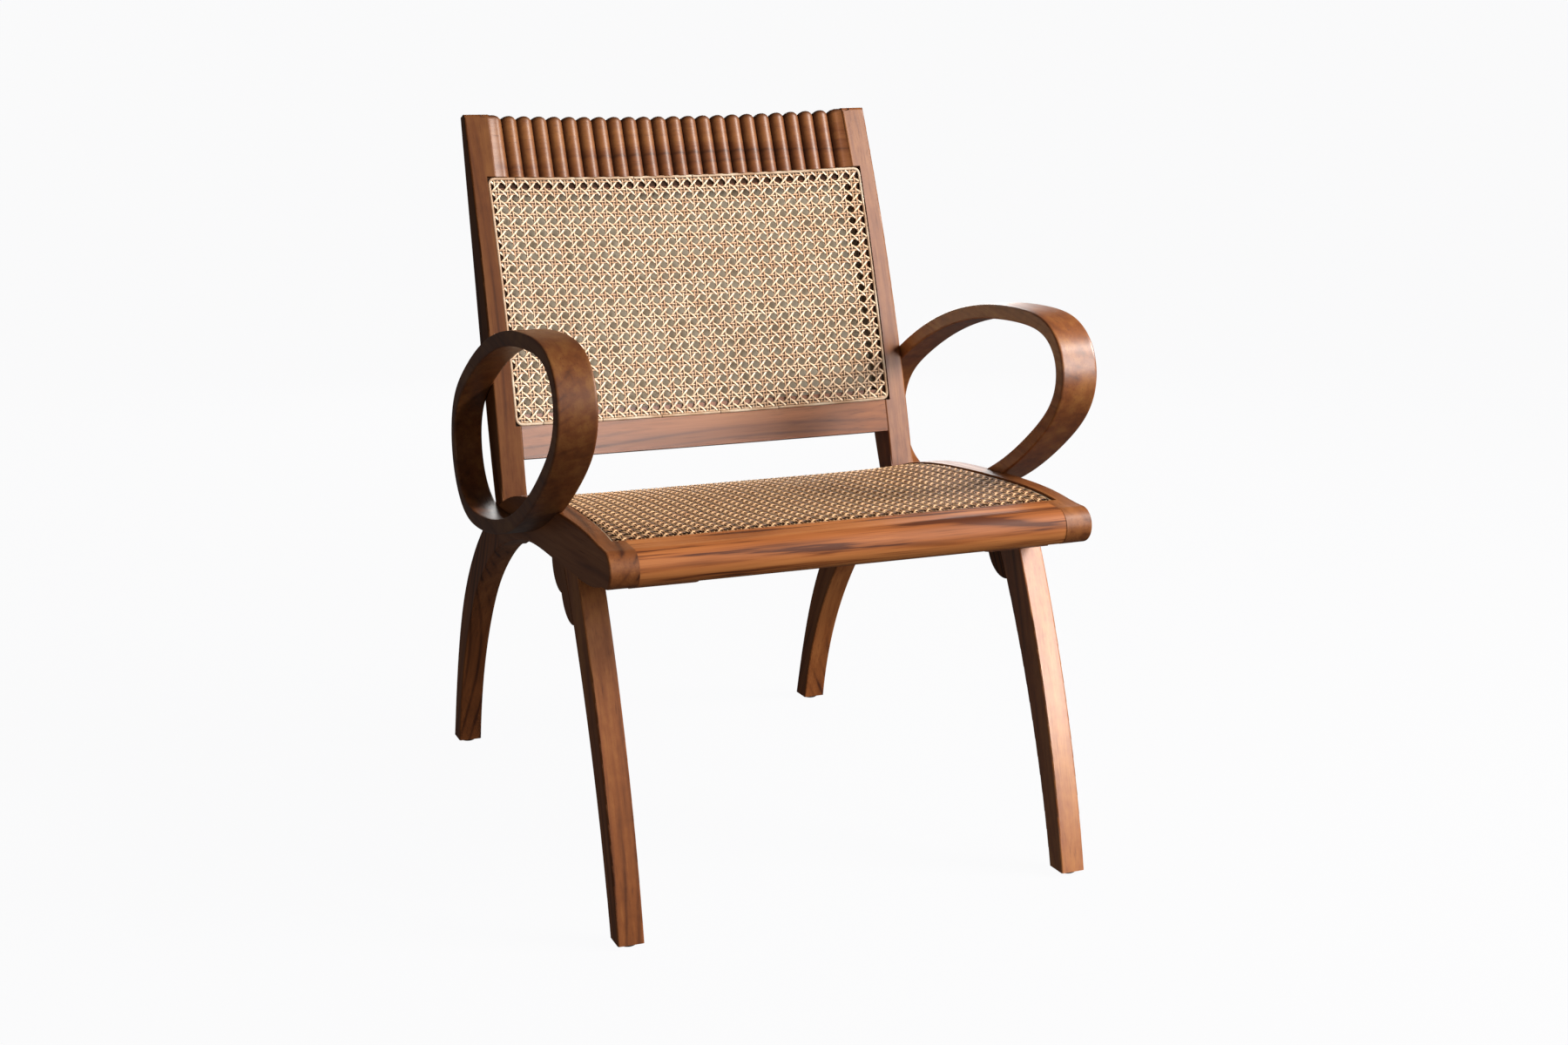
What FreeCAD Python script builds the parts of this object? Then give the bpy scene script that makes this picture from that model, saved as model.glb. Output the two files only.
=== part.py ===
import FreeCAD, Part
import math
import os
from FreeCAD import Placement, Rotation, Vector

# A hardwood lounge chair with closed loop arms, a reeded crest rail and cane panels.
# X runs across the chair, -Y is the front, Z is up. The origin is on the floor, under
# the middle of the chair. The right half is made first and the left half is its mirror.

doc = FreeCAD.newDocument("planters_chair")

SIZES = {
    # Whole chair. Side profiles are measured back from the front of the front feet
    # and up from the soles of the legs.
    "chair_depth": 739.0,
    "front_half_width": 275.9,
    "side_draw_in": 13.7,
    "seat_rise": 421.0,
    "overrun": 60.0,
    # Side rails and front rail
    "rail_thickness": 32.0,
    "rail_round": 2.5,
    "nose_setback": 6.0,
    "nose_radius": 20.0,
    "nose_drop": 25.0,
    "rear_rail_drop": 42.0,
    "front_dowel_bite": 20.0,
    "rear_dowel_bite": 11.0,
    # Legs
    "leg_thickness": 29.0,
    "leg_round": 2.0,
    "front_foot_depth": 28.0,
    "front_leg_top_depth": 52.0,
    "front_leg_rake": 121.0,
    "front_leg_drop": 59.0,
    "front_leg_bow": 13.0,
    "front_leg_rear_bow": 14.0,
    "rear_foot_depth": 30.0,
    # Brackets behind the front legs
    "bracket_reach": 49.0,
    "bracket_step_reach": 14.0,
    "bracket_step_drop": 29.0,
    "bracket_toe_bite": 30.0,
    "bracket_toe_drop": 54.0,
    "bracket_lobe_bow": 9.0,
    # Loop arms: two end circles joined by two long arcs
    "arm_let_in": 10.3,
    "arm_front_width": 43.5,
    "arm_rear_width": 33.8,
    "arm_thickness": 17.0,
    "arm_round": 2.0,
    "arm_front_setback": 124.2,
    "arm_front_lift": 128.4,
    "arm_front_radius": 63.1,
    "arm_rear_reach": 25.9,
    "arm_rear_lift": 18.5,
    "arm_rear_radius": 84.1,
    "arm_upper_radius": 581.7,
    "arm_lower_radius": 529.5,
    # Back
    "back_reach": 5.685,
    "back_lift": 1.84,
    "back_length": 464.3,
    "back_lean_angle": 18.75,
    "back_lean_in_angle": 0.48,
    "back_side_bow": 12.0,
    "back_plan_bow": 15.0,
    "stile_width": 30.0,
    "stile_foot_depth": 36.5,
    "stile_top_depth": 20.0,
    "stile_round": 2.0,
    "stile_inset": 0.5,
    "stile_scribe": 14.0,
    "crest_height": 79.3,
    "crest_thickness": 22.0,
    "crest_round": 5.0,
    "crest_block_width": 20.0,
    "reed_pitch": 19.4,
    "reed_depth": 6.5,
    "lower_rail_rise": 45.0,
    "lower_rail_height": 39.0,
    "lower_rail_thickness": 22.0,
    "rabbet_lap": 14.0,
    # Cane panels and their spline
    "cane_thickness": 3.0,
    "cane_recess": 1.5,
    "cane_clearance": 0.3,
    "spline_width": 4.0,
    "seat_spline_drop": 1.5,
    "seat_sag": 8.5,
    "back_panel_inset": 23.28,
    "seat_panel_front_lap": 18.9,
    "seat_panel_rear_lap": 37.685,
    "seat_panel_front_inset": 18.9,
    "seat_panel_rear_inset": 27.2,
    # Joints and fasteners
    "tenon_thickness": 10.0,
    "tenon_length": 22.0,
    "tenon_shoulder": 8.0,
    "dowel_diameter": 10.0,
    "dowel_length": 44.0,
    "screw_shank": 4.0,
    "screw_head": 8.0,
    "screw_head_height": 3.0,
    "arm_screw_grip": 16.0,
    "pin_diameter": 3.5,
    "pin_length": 24.0,
    "pin_rise": 14.0,
    "plate_thickness": 7.0,
    "plate_front": 46.0,
    "plate_arm": 70.0,
    "plate_corner": 8.0,
    "block_arm": 48.0,
    "block_height": 34.0,
    "plate_screw_length": 18.0,
    # Foot glides
    "glide_height": 4.5,
    "glide_radius": 11.0,
    "glide_flat_radius": 6.5,
    "glide_nail_radius": 1.5,
    "glide_nail_length": 14.0,
}

# Points of the crown line, from the nose over the rail to the heel of the rear leg,
# as shares of the chair's depth and of the seat's rise.
CROWN_SHARES = (
    (0.100, 0.9967), (0.203, 1.000), (0.352, 0.987), (0.491, 0.958), (0.585, 0.913),
    (0.647, 0.8635), (0.747, 0.755), (0.816, 0.651), (0.888, 0.499), (0.959, 0.2375),
)
# Points of the under line, from the nose to the arch of the rear leg, in the same shares.
UNDER_SHARES = (
    (0.081, 0.878), (0.157, 0.865), (0.303, 0.861), (0.448, 0.849), (0.541, 0.8135),
    (0.616, 0.7695), (0.697, 0.6925), (0.789, 0.565), (0.850, 0.437), (0.908, 0.2685),
)
# Back edge of a stile: share of its length, then depth as a share of the foot's depth.
STILE_BACK_SHARES = ((0.207, 1.05), (0.54, 0.84), (0.83, 0.66))
# Places along a part, as shares of its length or height.
ARM_SCREW_SHARES = (0.40, 0.78)
FRONT_DOWEL_SHARES = (0.45, 0.80)
REAR_DOWEL_SHARES = (0.28, 0.72)
TENON_SHARE = 0.66
# Bow of a quarter round, as a share of its radius.
QUARTER_BOW_SHARE = 1 - math.sqrt(0.5)
# Across the seat: share of the half width between the rails, then share of the sag there.
SAG_SHARES = (
    (-1.0, 0.0), (-0.8, 0.58), (-0.55, 0.91), (0.0, 1.0), (0.55, 0.91), (0.8, 0.58), (1.0, 0.0),
)
# Sections of the cane, as shares of the way from the front rail to the rear rail.
SEAT_STATIONS = (-0.06, 0.0, 0.1, 0.25, 0.4, 0.55, 0.7, 0.82, 0.92, 1.0, 1.12)
SAG_POWER = 3
FACE_TOLERANCE = 1e-6
BISECTIONS = 40
PLATE_SCREW_SHARES = (0.25, 0.55)

sheet = doc.addObject("Spreadsheet::Sheet", "Sizes")
for row, (alias, value) in enumerate(SIZES.items(), start=1):
    sheet.set(f"A{row}", alias)
    sheet.set(f"B{row}", str(value))
    sheet.setAlias(f"B{row}", alias)
doc.recompute()


def S(alias):
    return float(sheet.get(alias))


def bind(item, prop, formula):
    item.setExpression(prop, formula)


# Frames

SOLE = S("glide_height")
TAPER = math.degrees(math.atan2(S("side_draw_in"), S("chair_depth")))
FRONT = -(S("chair_depth") * math.cos(math.radians(TAPER))
          - S("leg_thickness") * math.sin(math.radians(TAPER))) / 2
X_AXIS = Vector(1, 0, 0)
Y_AXIS = Vector(0, 1, 0)
Z_AXIS = Vector(0, 0, 1)


def outer_half(setback):
    return S("front_half_width") - math.tan(math.radians(TAPER)) * setback


def half_frame(half, setback=0.0, rise=0.0):
    return Placement(Vector(half, FRONT + setback, SOLE + rise), Rotation())


# The right side frame lies in one plane, which closes in towards the rear. Local X = 0
# is its outer face.
SIDE = Placement(Vector(S("front_half_width"), FRONT, SOLE), Rotation(Z_AXIS, TAPER))


def moved(frame, x=0.0, y=0.0, z=0.0, rotation=Rotation()):
    return frame.multiply(Placement(Vector(x, y, z), rotation))


# Outlines

def flat(point):
    return Vector(point[0], point[1], 0)


def line(start, end):
    return Part.LineSegment(flat(start), flat(end))


def arc(start, middle, end):
    return Part.Arc(flat(start), flat(middle), flat(end))


def bowed(start, end, bow):
    """Arc from start to end that stands out to the right of that direction by bow."""
    dx, dy = end[0] - start[0], end[1] - start[1]
    length = math.hypot(dx, dy)
    middle = ((start[0] + end[0]) / 2 + bow * dy / length, (start[1] + end[1]) / 2 - bow * dx / length)
    return arc(start, middle, end)


def smooth(points, start=None):
    """A curve through points, which may leave the first one in a given direction."""
    vectors = [flat(point) for point in points]
    curve = Part.BSplineCurve()
    if start is None:
        curve.interpolate(vectors)
    else:
        flags = [number == 0 for number in range(len(points))]
        curve.interpolate(Points=vectors, Tangents=[flat(start)] * len(points), TangentFlags=flags)
    return curve


def stretch(curve, start, end):
    """The part of a curve between two of its points."""
    piece = curve.copy()
    piece.segment(curve.parameter(flat(start)), curve.parameter(flat(end)))
    return piece


def polygon(points):
    return [line(points[i], points[(i + 1) % len(points)]) for i in range(len(points))]


def rectangle(x0, y0, x1, y1):
    return polygon([(x0, y0), (x1, y0), (x1, y1), (x0, y1)])


# Features

def origin_plane(body, role):
    return next(item for item in body.Origin.OriginFeatures if item.Role == role)


def new_body(name, frame):
    body = doc.addObject("PartDesign::Body", name)
    body.Placement = frame
    return body


def sketch_on(body, role, edges, name, lift=0.0):
    sketch = body.newObject("Sketcher::SketchObject", f"{body.Name}_{name}")
    sketch.AttachmentSupport = (origin_plane(body, role), [""])
    sketch.MapMode = "FlatFace"
    sketch.AttachmentOffset = Placement(Vector(0, 0, lift), Rotation())
    sketch.addGeometry(edges, False)
    return sketch


def pad(body, sketch, length, reverse=False, midplane=False):
    feature = body.newObject("PartDesign::Pad", f"{sketch.Name}_pad")
    feature.Profile = sketch
    feature.Midplane = midplane
    feature.Reversed = reverse
    bind(feature, "Length", length)
    doc.recompute()
    return feature


def pocket(body, sketch):
    feature = body.newObject("PartDesign::Pocket", f"{sketch.Name}_pocket")
    feature.Profile = sketch
    feature.Type = "ThroughAll"
    feature.Midplane = True
    doc.recompute()
    return feature


def revolve(body, sketch, degrees, kind="PartDesign::Revolution"):
    feature = body.newObject(kind, f"{sketch.Name}_turned")
    feature.Profile = sketch
    feature.ReferenceAxis = (sketch, ["V_Axis"])
    feature.Angle = degrees
    feature.Midplane = True
    doc.recompute()
    return feature


def round_edges(body, feature, radius, wanted):
    """Round the edges of a feature that pass a test on their middle point."""
    names = []
    for index, edge in enumerate(feature.Shape.Edges, start=1):
        middle = edge.valueAt((edge.FirstParameter + edge.LastParameter) / 2)
        if wanted(edge, middle):
            names.append(f"Edge{index}")
    fillet = body.newObject("PartDesign::Fillet", f"{feature.Name}_round")
    fillet.Base = (feature, names)
    bind(fillet, "Radius", radius)
    doc.recompute()
    return fillet


def block(name, frame, x, y, z):
    """A box whose three sides are each a pair: where it starts, and its length."""
    item = doc.addObject("Part::Box", name)
    for prop, (start, length) in zip(("Length", "Width", "Height"), (x, y, z)):
        setattr(item, prop, length)
    item.Placement = moved(frame, x[0], y[0], z[0])
    return item


def rod(name, frame, diameter, length):
    item = doc.addObject("Part::Cylinder", name)
    bind(item, "Radius", f"{diameter} / 2")
    bind(item, "Height", length)
    item.Placement = frame
    return item


def cut(name, base, *tools):
    for number, tool in enumerate(tools, start=1):
        item = doc.addObject("Part::Cut", name if number == len(tools) else f"{name}_step{number}")
        item.Base = base
        item.Tool = tool
        doc.recompute()
        base = item
    return base


def joined(kind, name, *shapes):
    item = doc.addObject(kind, name)
    item.Shapes = list(shapes)
    doc.recompute()
    return item


def group(name, solids):
    item = doc.addObject("Part::Compound", name)
    item.Links = solids
    doc.recompute()
    return item


def mirrored(name, source):
    item = doc.addObject("Part::Mirroring", name)
    item.Source = source
    item.Normal = X_AXIS
    item.Base = Vector(0, 0, 0)
    doc.recompute()
    return item


# The side line: crown and under line, in a side frame's Y and Z

NOSE_BACK = S("nose_setback") + S("nose_radius")
NOSE_RISE = S("seat_rise") - S("nose_drop")
NOSE_TOP = (NOSE_BACK, NOSE_RISE + S("nose_radius"))
NOSE_FRONT = (S("nose_setback"), NOSE_RISE)
NOSE_UNDER = (NOSE_BACK, NOSE_RISE - S("nose_radius"))
HEEL = (S("chair_depth"), 0.0)
TOE = (S("chair_depth") - S("rear_foot_depth"), 0.0)


def scaled(shares):
    return [(along * S("chair_depth"), up * S("seat_rise")) for along, up in shares]


CROWN_POINTS = scaled(CROWN_SHARES)
UNDER_POINTS = scaled(UNDER_SHARES)
LEVEL = (1.0, 0.0)
CROWN = smooth([NOSE_TOP] + CROWN_POINTS + [HEEL], LEVEL)
UNDER = smooth([NOSE_UNDER] + UNDER_POINTS + [TOE], LEVEL)
FRONT_RAIL_TOP, REAR_RAIL_TOP = CROWN_POINTS[0], CROWN_POINTS[4]
SPLIT_TOP, SPLIT_UNDER = CROWN_POINTS[5], UNDER_POINTS[5]


def crown_height(setback):
    low, high = CROWN.parameter(flat(NOSE_TOP)), CROWN.parameter(flat(HEEL))
    for _ in range(BISECTIONS):
        middle = (low + high) / 2
        if CROWN.value(middle).x < setback:
            low = middle
        else:
            high = middle
    return CROWN.value(low).y


def side_rail_body():
    body = new_body("side_rail_blank", SIDE)
    edges = [
        arc(NOSE_TOP, NOSE_FRONT, NOSE_UNDER),
        stretch(UNDER, NOSE_UNDER, SPLIT_UNDER),
        line(SPLIT_UNDER, SPLIT_TOP),
        stretch(CROWN, NOSE_TOP, SPLIT_TOP),
    ]
    feature = pad(body, sketch_on(body, "YZ_Plane", edges, "side"), "Sizes.rail_thickness", reverse=True)

    def outer_crown(edge, middle):
        on_face = abs(middle.x) < FACE_TOLERANCE
        return on_face and edge.Length > S("nose_radius") and middle.z > NOSE_RISE - S("nose_radius") / 2

    round_edges(body, feature, "Sizes.rail_round", outer_crown)
    return body


def rear_leg_body():
    body = new_body("rear_leg_blank", SIDE)
    edges = [
        stretch(CROWN, SPLIT_TOP, HEEL),
        line(HEEL, TOE),
        stretch(UNDER, SPLIT_UNDER, TOE),
        line(SPLIT_UNDER, SPLIT_TOP),
    ]
    feature = pad(body, sketch_on(body, "YZ_Plane", edges, "side"), "Sizes.leg_thickness", reverse=True)
    round_edges(body, feature, "Sizes.leg_round", long_face_edge(S("leg_thickness")))
    return body


def long_face_edge(thickness):
    """A test for the long curved edges on a plank's two faces."""
    def test(edge, middle):
        on_face = abs(middle.x) < FACE_TOLERANCE or abs(middle.x + thickness) < FACE_TOLERANCE
        return on_face and edge.Curve.TypeId != "Part::GeomLine" and edge.Length > thickness
    return test


LEG_TOP_FRONT = (S("front_leg_rake"), S("seat_rise") - S("front_leg_drop"))
LEG_TOP_REAR = (LEG_TOP_FRONT[0] + S("front_leg_top_depth"), LEG_TOP_FRONT[1])


def front_leg_body(name, rounded):
    """A front leg that runs on up into the side rail, with or without its rounded edges."""
    body = new_body(name, SIDE)
    top_front, top_rear = LEG_TOP_FRONT, LEG_TOP_REAR
    foot_front = (0.0, 0.0)
    foot_rear = (S("front_foot_depth"), 0.0)
    over_front = (top_front[0], top_front[1] + S("nose_radius"))
    over_rear = (top_rear[0], top_rear[1] + S("nose_radius"))
    edges = [
        bowed(top_front, foot_front, S("front_leg_bow")),
        line(foot_front, foot_rear),
        bowed(top_rear, foot_rear, S("front_leg_rear_bow")),
        line(top_rear, over_rear),
        line(over_rear, over_front),
        line(over_front, top_front),
    ]
    feature = pad(body, sketch_on(body, "YZ_Plane", edges, "side"), "Sizes.leg_thickness", reverse=True)
    if rounded:
        round_edges(body, feature, "Sizes.leg_round", long_face_edge(S("leg_thickness")))
    return body


def bracket_body():
    """Two convex lobes that step up from the leg to the underside of the rail."""
    body = new_body("bracket_blank", SIDE)
    back, top = LEG_TOP_REAR
    tip = (back + S("bracket_reach"), top)
    over = (tip[0], top + S("nose_radius"))
    step = (back + S("bracket_step_reach"), top - S("bracket_step_drop"))
    toe = (back - S("bracket_toe_bite"), top - S("bracket_toe_drop"))
    hidden_toe = (toe[0] - S("front_foot_depth") / 2, toe[1])
    hidden_top = ((LEG_TOP_FRONT[0] + back) / 2, over[1])
    edges = [
        bowed(toe, step, S("bracket_lobe_bow")),
        bowed(step, tip, S("bracket_lobe_bow")),
        line(tip, over),
        line(over, hidden_top),
        line(hidden_top, hidden_toe),
        line(hidden_toe, toe),
    ]
    pad(body, sketch_on(body, "YZ_Plane", edges, "side"), "Sizes.leg_thickness", reverse=True)
    return body


# Loop arms

BACK_SETBACK = REAR_RAIL_TOP[0] + S("back_reach")


class ArmOutline:
    """A closed oval of four arcs: a circle at each end and a long arc above and below."""

    def __init__(self, inset):
        self.front = (S("arm_front_setback"), S("seat_rise") + S("arm_front_lift"))
        self.rear = (BACK_SETBACK + S("arm_rear_reach"), S("seat_rise") + S("arm_rear_lift"))
        self.front_radius = S("arm_front_radius") - inset
        self.rear_radius = S("arm_rear_radius") - inset
        self.upper_radius = S("arm_upper_radius") - inset
        self.lower_radius = S("arm_lower_radius") - inset
        self.upper = self.long_centre(self.upper_radius, -1)
        self.lower = self.long_centre(self.lower_radius, 1)

    def long_centre(self, radius, side):
        """Centre of the arc that is tangent inside to both end circles."""
        dx, dy = self.rear[0] - self.front[0], self.rear[1] - self.front[1]
        length = math.hypot(dx, dy)
        near, far = radius - self.front_radius, radius - self.rear_radius
        along = (near ** 2 - far ** 2 + length ** 2) / (2 * length)
        across = side * math.sqrt(near ** 2 - along ** 2)
        ux, uy = dx / length, dy / length
        return (self.front[0] + along * ux - across * uy, self.front[1] + along * uy + across * ux)

    @staticmethod
    def beyond(centre, through, radius):
        dx, dy = through[0] - centre[0], through[1] - centre[1]
        length = math.hypot(dx, dy)
        return (centre[0] + radius * dx / length, centre[1] + radius * dy / length)

    def edges(self):
        upper_front = self.beyond(self.upper, self.front, self.upper_radius)
        upper_rear = self.beyond(self.upper, self.rear, self.upper_radius)
        lower_front = self.beyond(self.lower, self.front, self.lower_radius)
        lower_rear = self.beyond(self.lower, self.rear, self.lower_radius)
        nose = self.beyond(self.rear, self.front, math.hypot(
            self.rear[0] - self.front[0], self.rear[1] - self.front[1]) + self.front_radius)
        tail = self.beyond(self.front, self.rear, math.hypot(
            self.rear[0] - self.front[0], self.rear[1] - self.front[1]) + self.rear_radius)
        middle = ((self.front[0] + self.rear[0]) / 2, (self.front[1] + self.rear[1]) / 2)
        return [
            arc(lower_front, nose, upper_front),
            arc(upper_front, self.beyond(self.upper, middle, self.upper_radius), upper_rear),
            arc(upper_rear, tail, lower_rear),
            arc(lower_rear, self.beyond(self.lower, middle, self.lower_radius), lower_front),
        ]

    def lower_height(self, setback):
        return self.lower[1] - math.sqrt(self.lower_radius ** 2 - (setback - self.lower[0]) ** 2)

    def upper_height(self, setback):
        return self.upper[1] + math.sqrt(self.upper_radius ** 2 - (setback - self.upper[0]) ** 2)


def arm_body():
    body = new_body("arm_blank", half_frame(S("front_half_width") - S("arm_let_in")))
    outer, inner = ArmOutline(0.0), ArmOutline(S("arm_thickness"))
    sketch = sketch_on(body, "YZ_Plane", outer.edges() + inner.edges(), "side")
    feature = pad(body, sketch, "Sizes.arm_front_width")
    full = feature.Shape.Volume
    # The band narrows towards the rear, so a wedge comes off its outer face.
    front = outer.front[0] - outer.front_radius
    rear = outer.rear[0] + outer.rear_radius
    wide, narrow, over = S("arm_front_width"), S("arm_rear_width"), S("overrun")
    slope = (wide - narrow) / (rear - front)
    wedge = polygon([
        (wide, front),
        (wide + over, front),
        (wide + over, rear + over),
        (narrow - slope * over, rear + over),
    ])
    taper = pocket(body, sketch_on(body, "XY_Plane", wedge, "taper"))
    if body.Shape.Volume >= full:
        raise RuntimeError("the arm's taper cut nothing")

    def face_edge(edge, middle):
        return edge.Length > S("arm_front_width")

    round_edges(body, taper, "Sizes.arm_round", face_edge)
    return body


# Back

BACK_RISE = crown_height(BACK_SETBACK) + S("back_lift")
LEAN = Rotation(X_AXIS, -S("back_lean_angle"))
BACK = Placement(Vector(0, FRONT + BACK_SETBACK, SOLE + BACK_RISE), LEAN)
STILE = Placement(
    Vector(outer_half(BACK_SETBACK) - S("stile_inset"), FRONT + BACK_SETBACK, SOLE + BACK_RISE),
    Rotation(Z_AXIS, TAPER) * Rotation(Y_AXIS, -S("back_lean_in_angle")) * LEAN,
)


def plan_radius():
    half = outer_half(BACK_SETBACK) - S("stile_width")
    return (half ** 2 + S("back_plan_bow") ** 2) / (2 * S("back_plan_bow"))


def back_face(along):
    """How far the stile's front face stands from its chord, at a distance up the chord."""
    half, bow = S("back_length") / 2, S("back_side_bow")
    radius = (half ** 2 + bow ** 2) / (2 * bow)
    return radius - bow - math.sqrt(radius ** 2 - (along - half) ** 2)


BOW_RADIUS = plan_radius()
BOW_SHIFT = S("back_plan_bow") - BOW_RADIUS
CREST_RISE = S("back_length") - S("crest_height")
LOWER_TOP = S("lower_rail_rise") + S("lower_rail_height")


def face_frame(low, high):
    """A frame on the bow's axis for a piece flush with the stiles between two heights."""
    tilt = math.degrees(math.atan2(back_face(high) - back_face(low), high - low))
    frame = moved(BACK, 0, back_face(low), low, Rotation(X_AXIS, -tilt))
    return moved(frame, 0, BOW_SHIFT, 0)


CREST = face_frame(CREST_RISE, S("back_length"))
LOWER = face_frame(S("lower_rail_rise"), LOWER_TOP)
PANEL = moved(BACK, 0, BOW_SHIFT, 0)


def stile_body():
    body = new_body("back_stile_blank", STILE)
    length, depth = S("back_length"), S("stile_foot_depth")
    back = [(depth * share, length * along) for along, share in STILE_BACK_SHARES]
    foot_rear = (depth, 0.0)
    top_rear = (S("stile_top_depth"), length)
    below = -S("stile_scribe")
    edges = [
        bowed((0.0, length), (0.0, 0.0), S("back_side_bow")),
        line((0.0, 0.0), (0.0, below)),
        line((0.0, below), (depth, below)),
        line((depth, below), foot_rear),
        smooth([foot_rear] + back + [top_rear]),
        line(top_rear, (0.0, length)),
    ]
    feature = pad(body, sketch_on(body, "YZ_Plane", edges, "side"), "Sizes.stile_width", reverse=True)
    full = round_edges(body, feature, "Sizes.stile_round", long_face_edge(S("stile_width"))).Shape.Volume
    corner = top_corner(0.0, length, S("crest_round"))
    pocket(body, sketch_on(body, "YZ_Plane", corner, "top"))
    if body.Shape.Volume >= full:
        raise RuntimeError("the stile's rounded top cut nothing")
    return body


def on_bow(radius, angle):
    return (radius * math.sin(angle), radius * math.cos(angle))


def bow_arc(radius, start, end):
    return arc(on_bow(radius, start), on_bow(radius, (start + end) / 2), on_bow(radius, end))


def reed_radius():
    half, depth = S("reed_pitch") / 2, S("reed_depth")
    return (half ** 2 + depth ** 2) / (2 * depth)


def reed_flank(side, last, half_reed):
    """A point halfway up the half reed that ends the row on one side."""
    fall = reed_radius() - math.sqrt(reed_radius() ** 2 - (S("reed_pitch") / 4) ** 2)
    return on_bow(BOW_RADIUS + fall, side * (last + half_reed / 2))


def top_corner(front, top, radius):
    """The waste outside a quarter round between the back's face and its top."""
    over = S("overrun")
    start, end = (front, top - radius), (front + radius, top)
    return [
        bowed(start, end, -radius * QUARTER_BOW_SHARE),
        line(end, (end[0], top + over)),
        line((end[0], top + over), (front - over, top + over)),
        line((front - over, top + over), (front - over, start[1])),
        line((front - over, start[1]), start),
    ]


def reed_count():
    """As many whole reeds as fit between the crest's end blocks."""
    row = 2 * (outer_half(BACK_SETBACK) - S("stile_width") - S("crest_block_width"))
    return math.floor(row / S("reed_pitch"))


def crest_body():
    """The crest rail: a row of reeds between two end blocks, on a bowed board."""
    body = new_body("crest_blank", CREST)
    count = reed_count()
    pitch = S("reed_pitch") / BOW_RADIUS
    half_reed = pitch / 2
    last = half_reed * count
    end = (outer_half(BACK_SETBACK) - S("stile_width") + S("tenon_shoulder")) / BOW_RADIUS
    front, valley = BOW_RADIUS, BOW_RADIUS + S("reed_depth")
    rear = BOW_RADIUS + S("crest_thickness")
    edges = [bow_arc(rear, -end, end)]
    for number in range(count):
        left = -last + pitch * number
        edges.append(arc(on_bow(valley, left), on_bow(front, left + half_reed), on_bow(valley, left + pitch)))
    for side in (-1, 1):
        shoulder, outer = on_bow(front, side * (last + half_reed)), on_bow(front, side * end)
        edges.append(arc(on_bow(valley, side * last), reed_flank(side, last, half_reed), shoulder))
        edges.append(bow_arc(front, side * (last + half_reed), side * end))
        edges.append(line(outer, on_bow(rear, side * end)))
    full = pad(body, sketch_on(body, "XY_Plane", edges, "reeds"), "Sizes.crest_height").Shape.Volume
    corner = top_corner(front, S("crest_height"), S("crest_round"))
    revolve(body, sketch_on(body, "YZ_Plane", corner, "top"), math.degrees(2 * end), "PartDesign::Groove")
    if body.Shape.Volume >= full:
        raise RuntimeError("the crest's rounded top cut nothing")
    lap = rectangle(front, -S("rabbet_lap"), rear, 0.0)
    revolve(body, sketch_on(body, "YZ_Plane", lap, "flange"), math.degrees(2 * end))
    return body


def lower_rail_body():
    body = new_body("lower_back_blank", LOWER)
    end = (outer_half(BACK_SETBACK) - S("stile_width") + S("tenon_shoulder")) / BOW_RADIUS
    section = rectangle(
        BOW_RADIUS, 0.0, BOW_RADIUS + S("lower_rail_thickness"), S("lower_rail_height") + S("rabbet_lap"))
    revolve(body, sketch_on(body, "YZ_Plane", section, "section"), math.degrees(2 * end))
    return body


def face_line(depth, low, high):
    """The stiles' front line between two heights, moved back by a depth."""
    middle = (low + high) / 2
    return smooth([(BOW_RADIUS + back_face(height) + depth, height) for height in (low, middle, high)])


def bowed_slab(name, front, back, low, high, half):
    """A slab that follows both bows, between two depths behind the stiles' faces."""
    body = new_body(name, PANEL)
    near, far = face_line(front, low, high), face_line(back, low, high)
    (near_low, near_high), (far_low, far_high) = ends(near), ends(far)
    edges = [near, line(near_high, far_high), far, line(far_low, near_low)]
    revolve(body, sketch_on(body, "YZ_Plane", edges, "section"), math.degrees(2 * half / BOW_RADIUS))
    return body


def ends(curve):
    return [(point.x, point.y) for point in (curve.StartPoint, curve.EndPoint)]


def stile_gap(name):
    """A block that fills the space between the stiles, with its sides on their inner faces."""
    side = block(
        f"{name}_right_limit", moved(STILE, -S("stile_width") - S("overrun") * 5), (0.0, S("overrun") * 5),
        (-S("overrun") * 3, S("overrun") * 6), (-S("overrun") * 2, S("back_length") + S("overrun") * 4))
    return joined("Part::MultiFuse", name, side, mirrored(f"{name}_left_limit", side))


# Seat

def seat_plan(name, margin):
    """An upright prism over the cane panel, drawn in by a margin at each edge."""
    body = new_body(name, half_frame(0.0))
    front = FRONT_RAIL_TOP[0] - S("seat_panel_front_lap") + margin
    rear = REAR_RAIL_TOP[0] + S("seat_panel_rear_lap") - margin
    front_half = outer_half(0.0) - S("seat_panel_front_inset") - margin
    rear_half = outer_half(S("chair_depth")) - S("seat_panel_rear_inset") - margin
    edges = polygon([(-front_half, front), (front_half, front), (rear_half, rear), (-rear_half, rear)])
    pad(body, sketch_on(body, "XY_Plane", edges, "plan"), "Sizes.seat_rise + Sizes.overrun")
    return body


def seat_slab(name, depth, thickness):
    """A slab across the chair that follows the crown line at a depth below it."""
    body = new_body(name, half_frame(0.0, rise=-depth))
    start, end = NOSE_TOP, CROWN_POINTS[6]
    low_start, low_end = (start[0], start[1] - thickness), (end[0], end[1] - thickness)
    below = CROWN.copy()
    below.translate(Vector(0, -thickness, 0))
    edges = [
        stretch(CROWN, start, end),
        line(end, low_end),
        stretch(below, low_start, low_end),
        line(low_start, start),
    ]
    sketch = sketch_on(body, "YZ_Plane", edges, "section")
    pad(body, sketch, "2 * Sizes.front_half_width", midplane=True)
    return body


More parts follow.
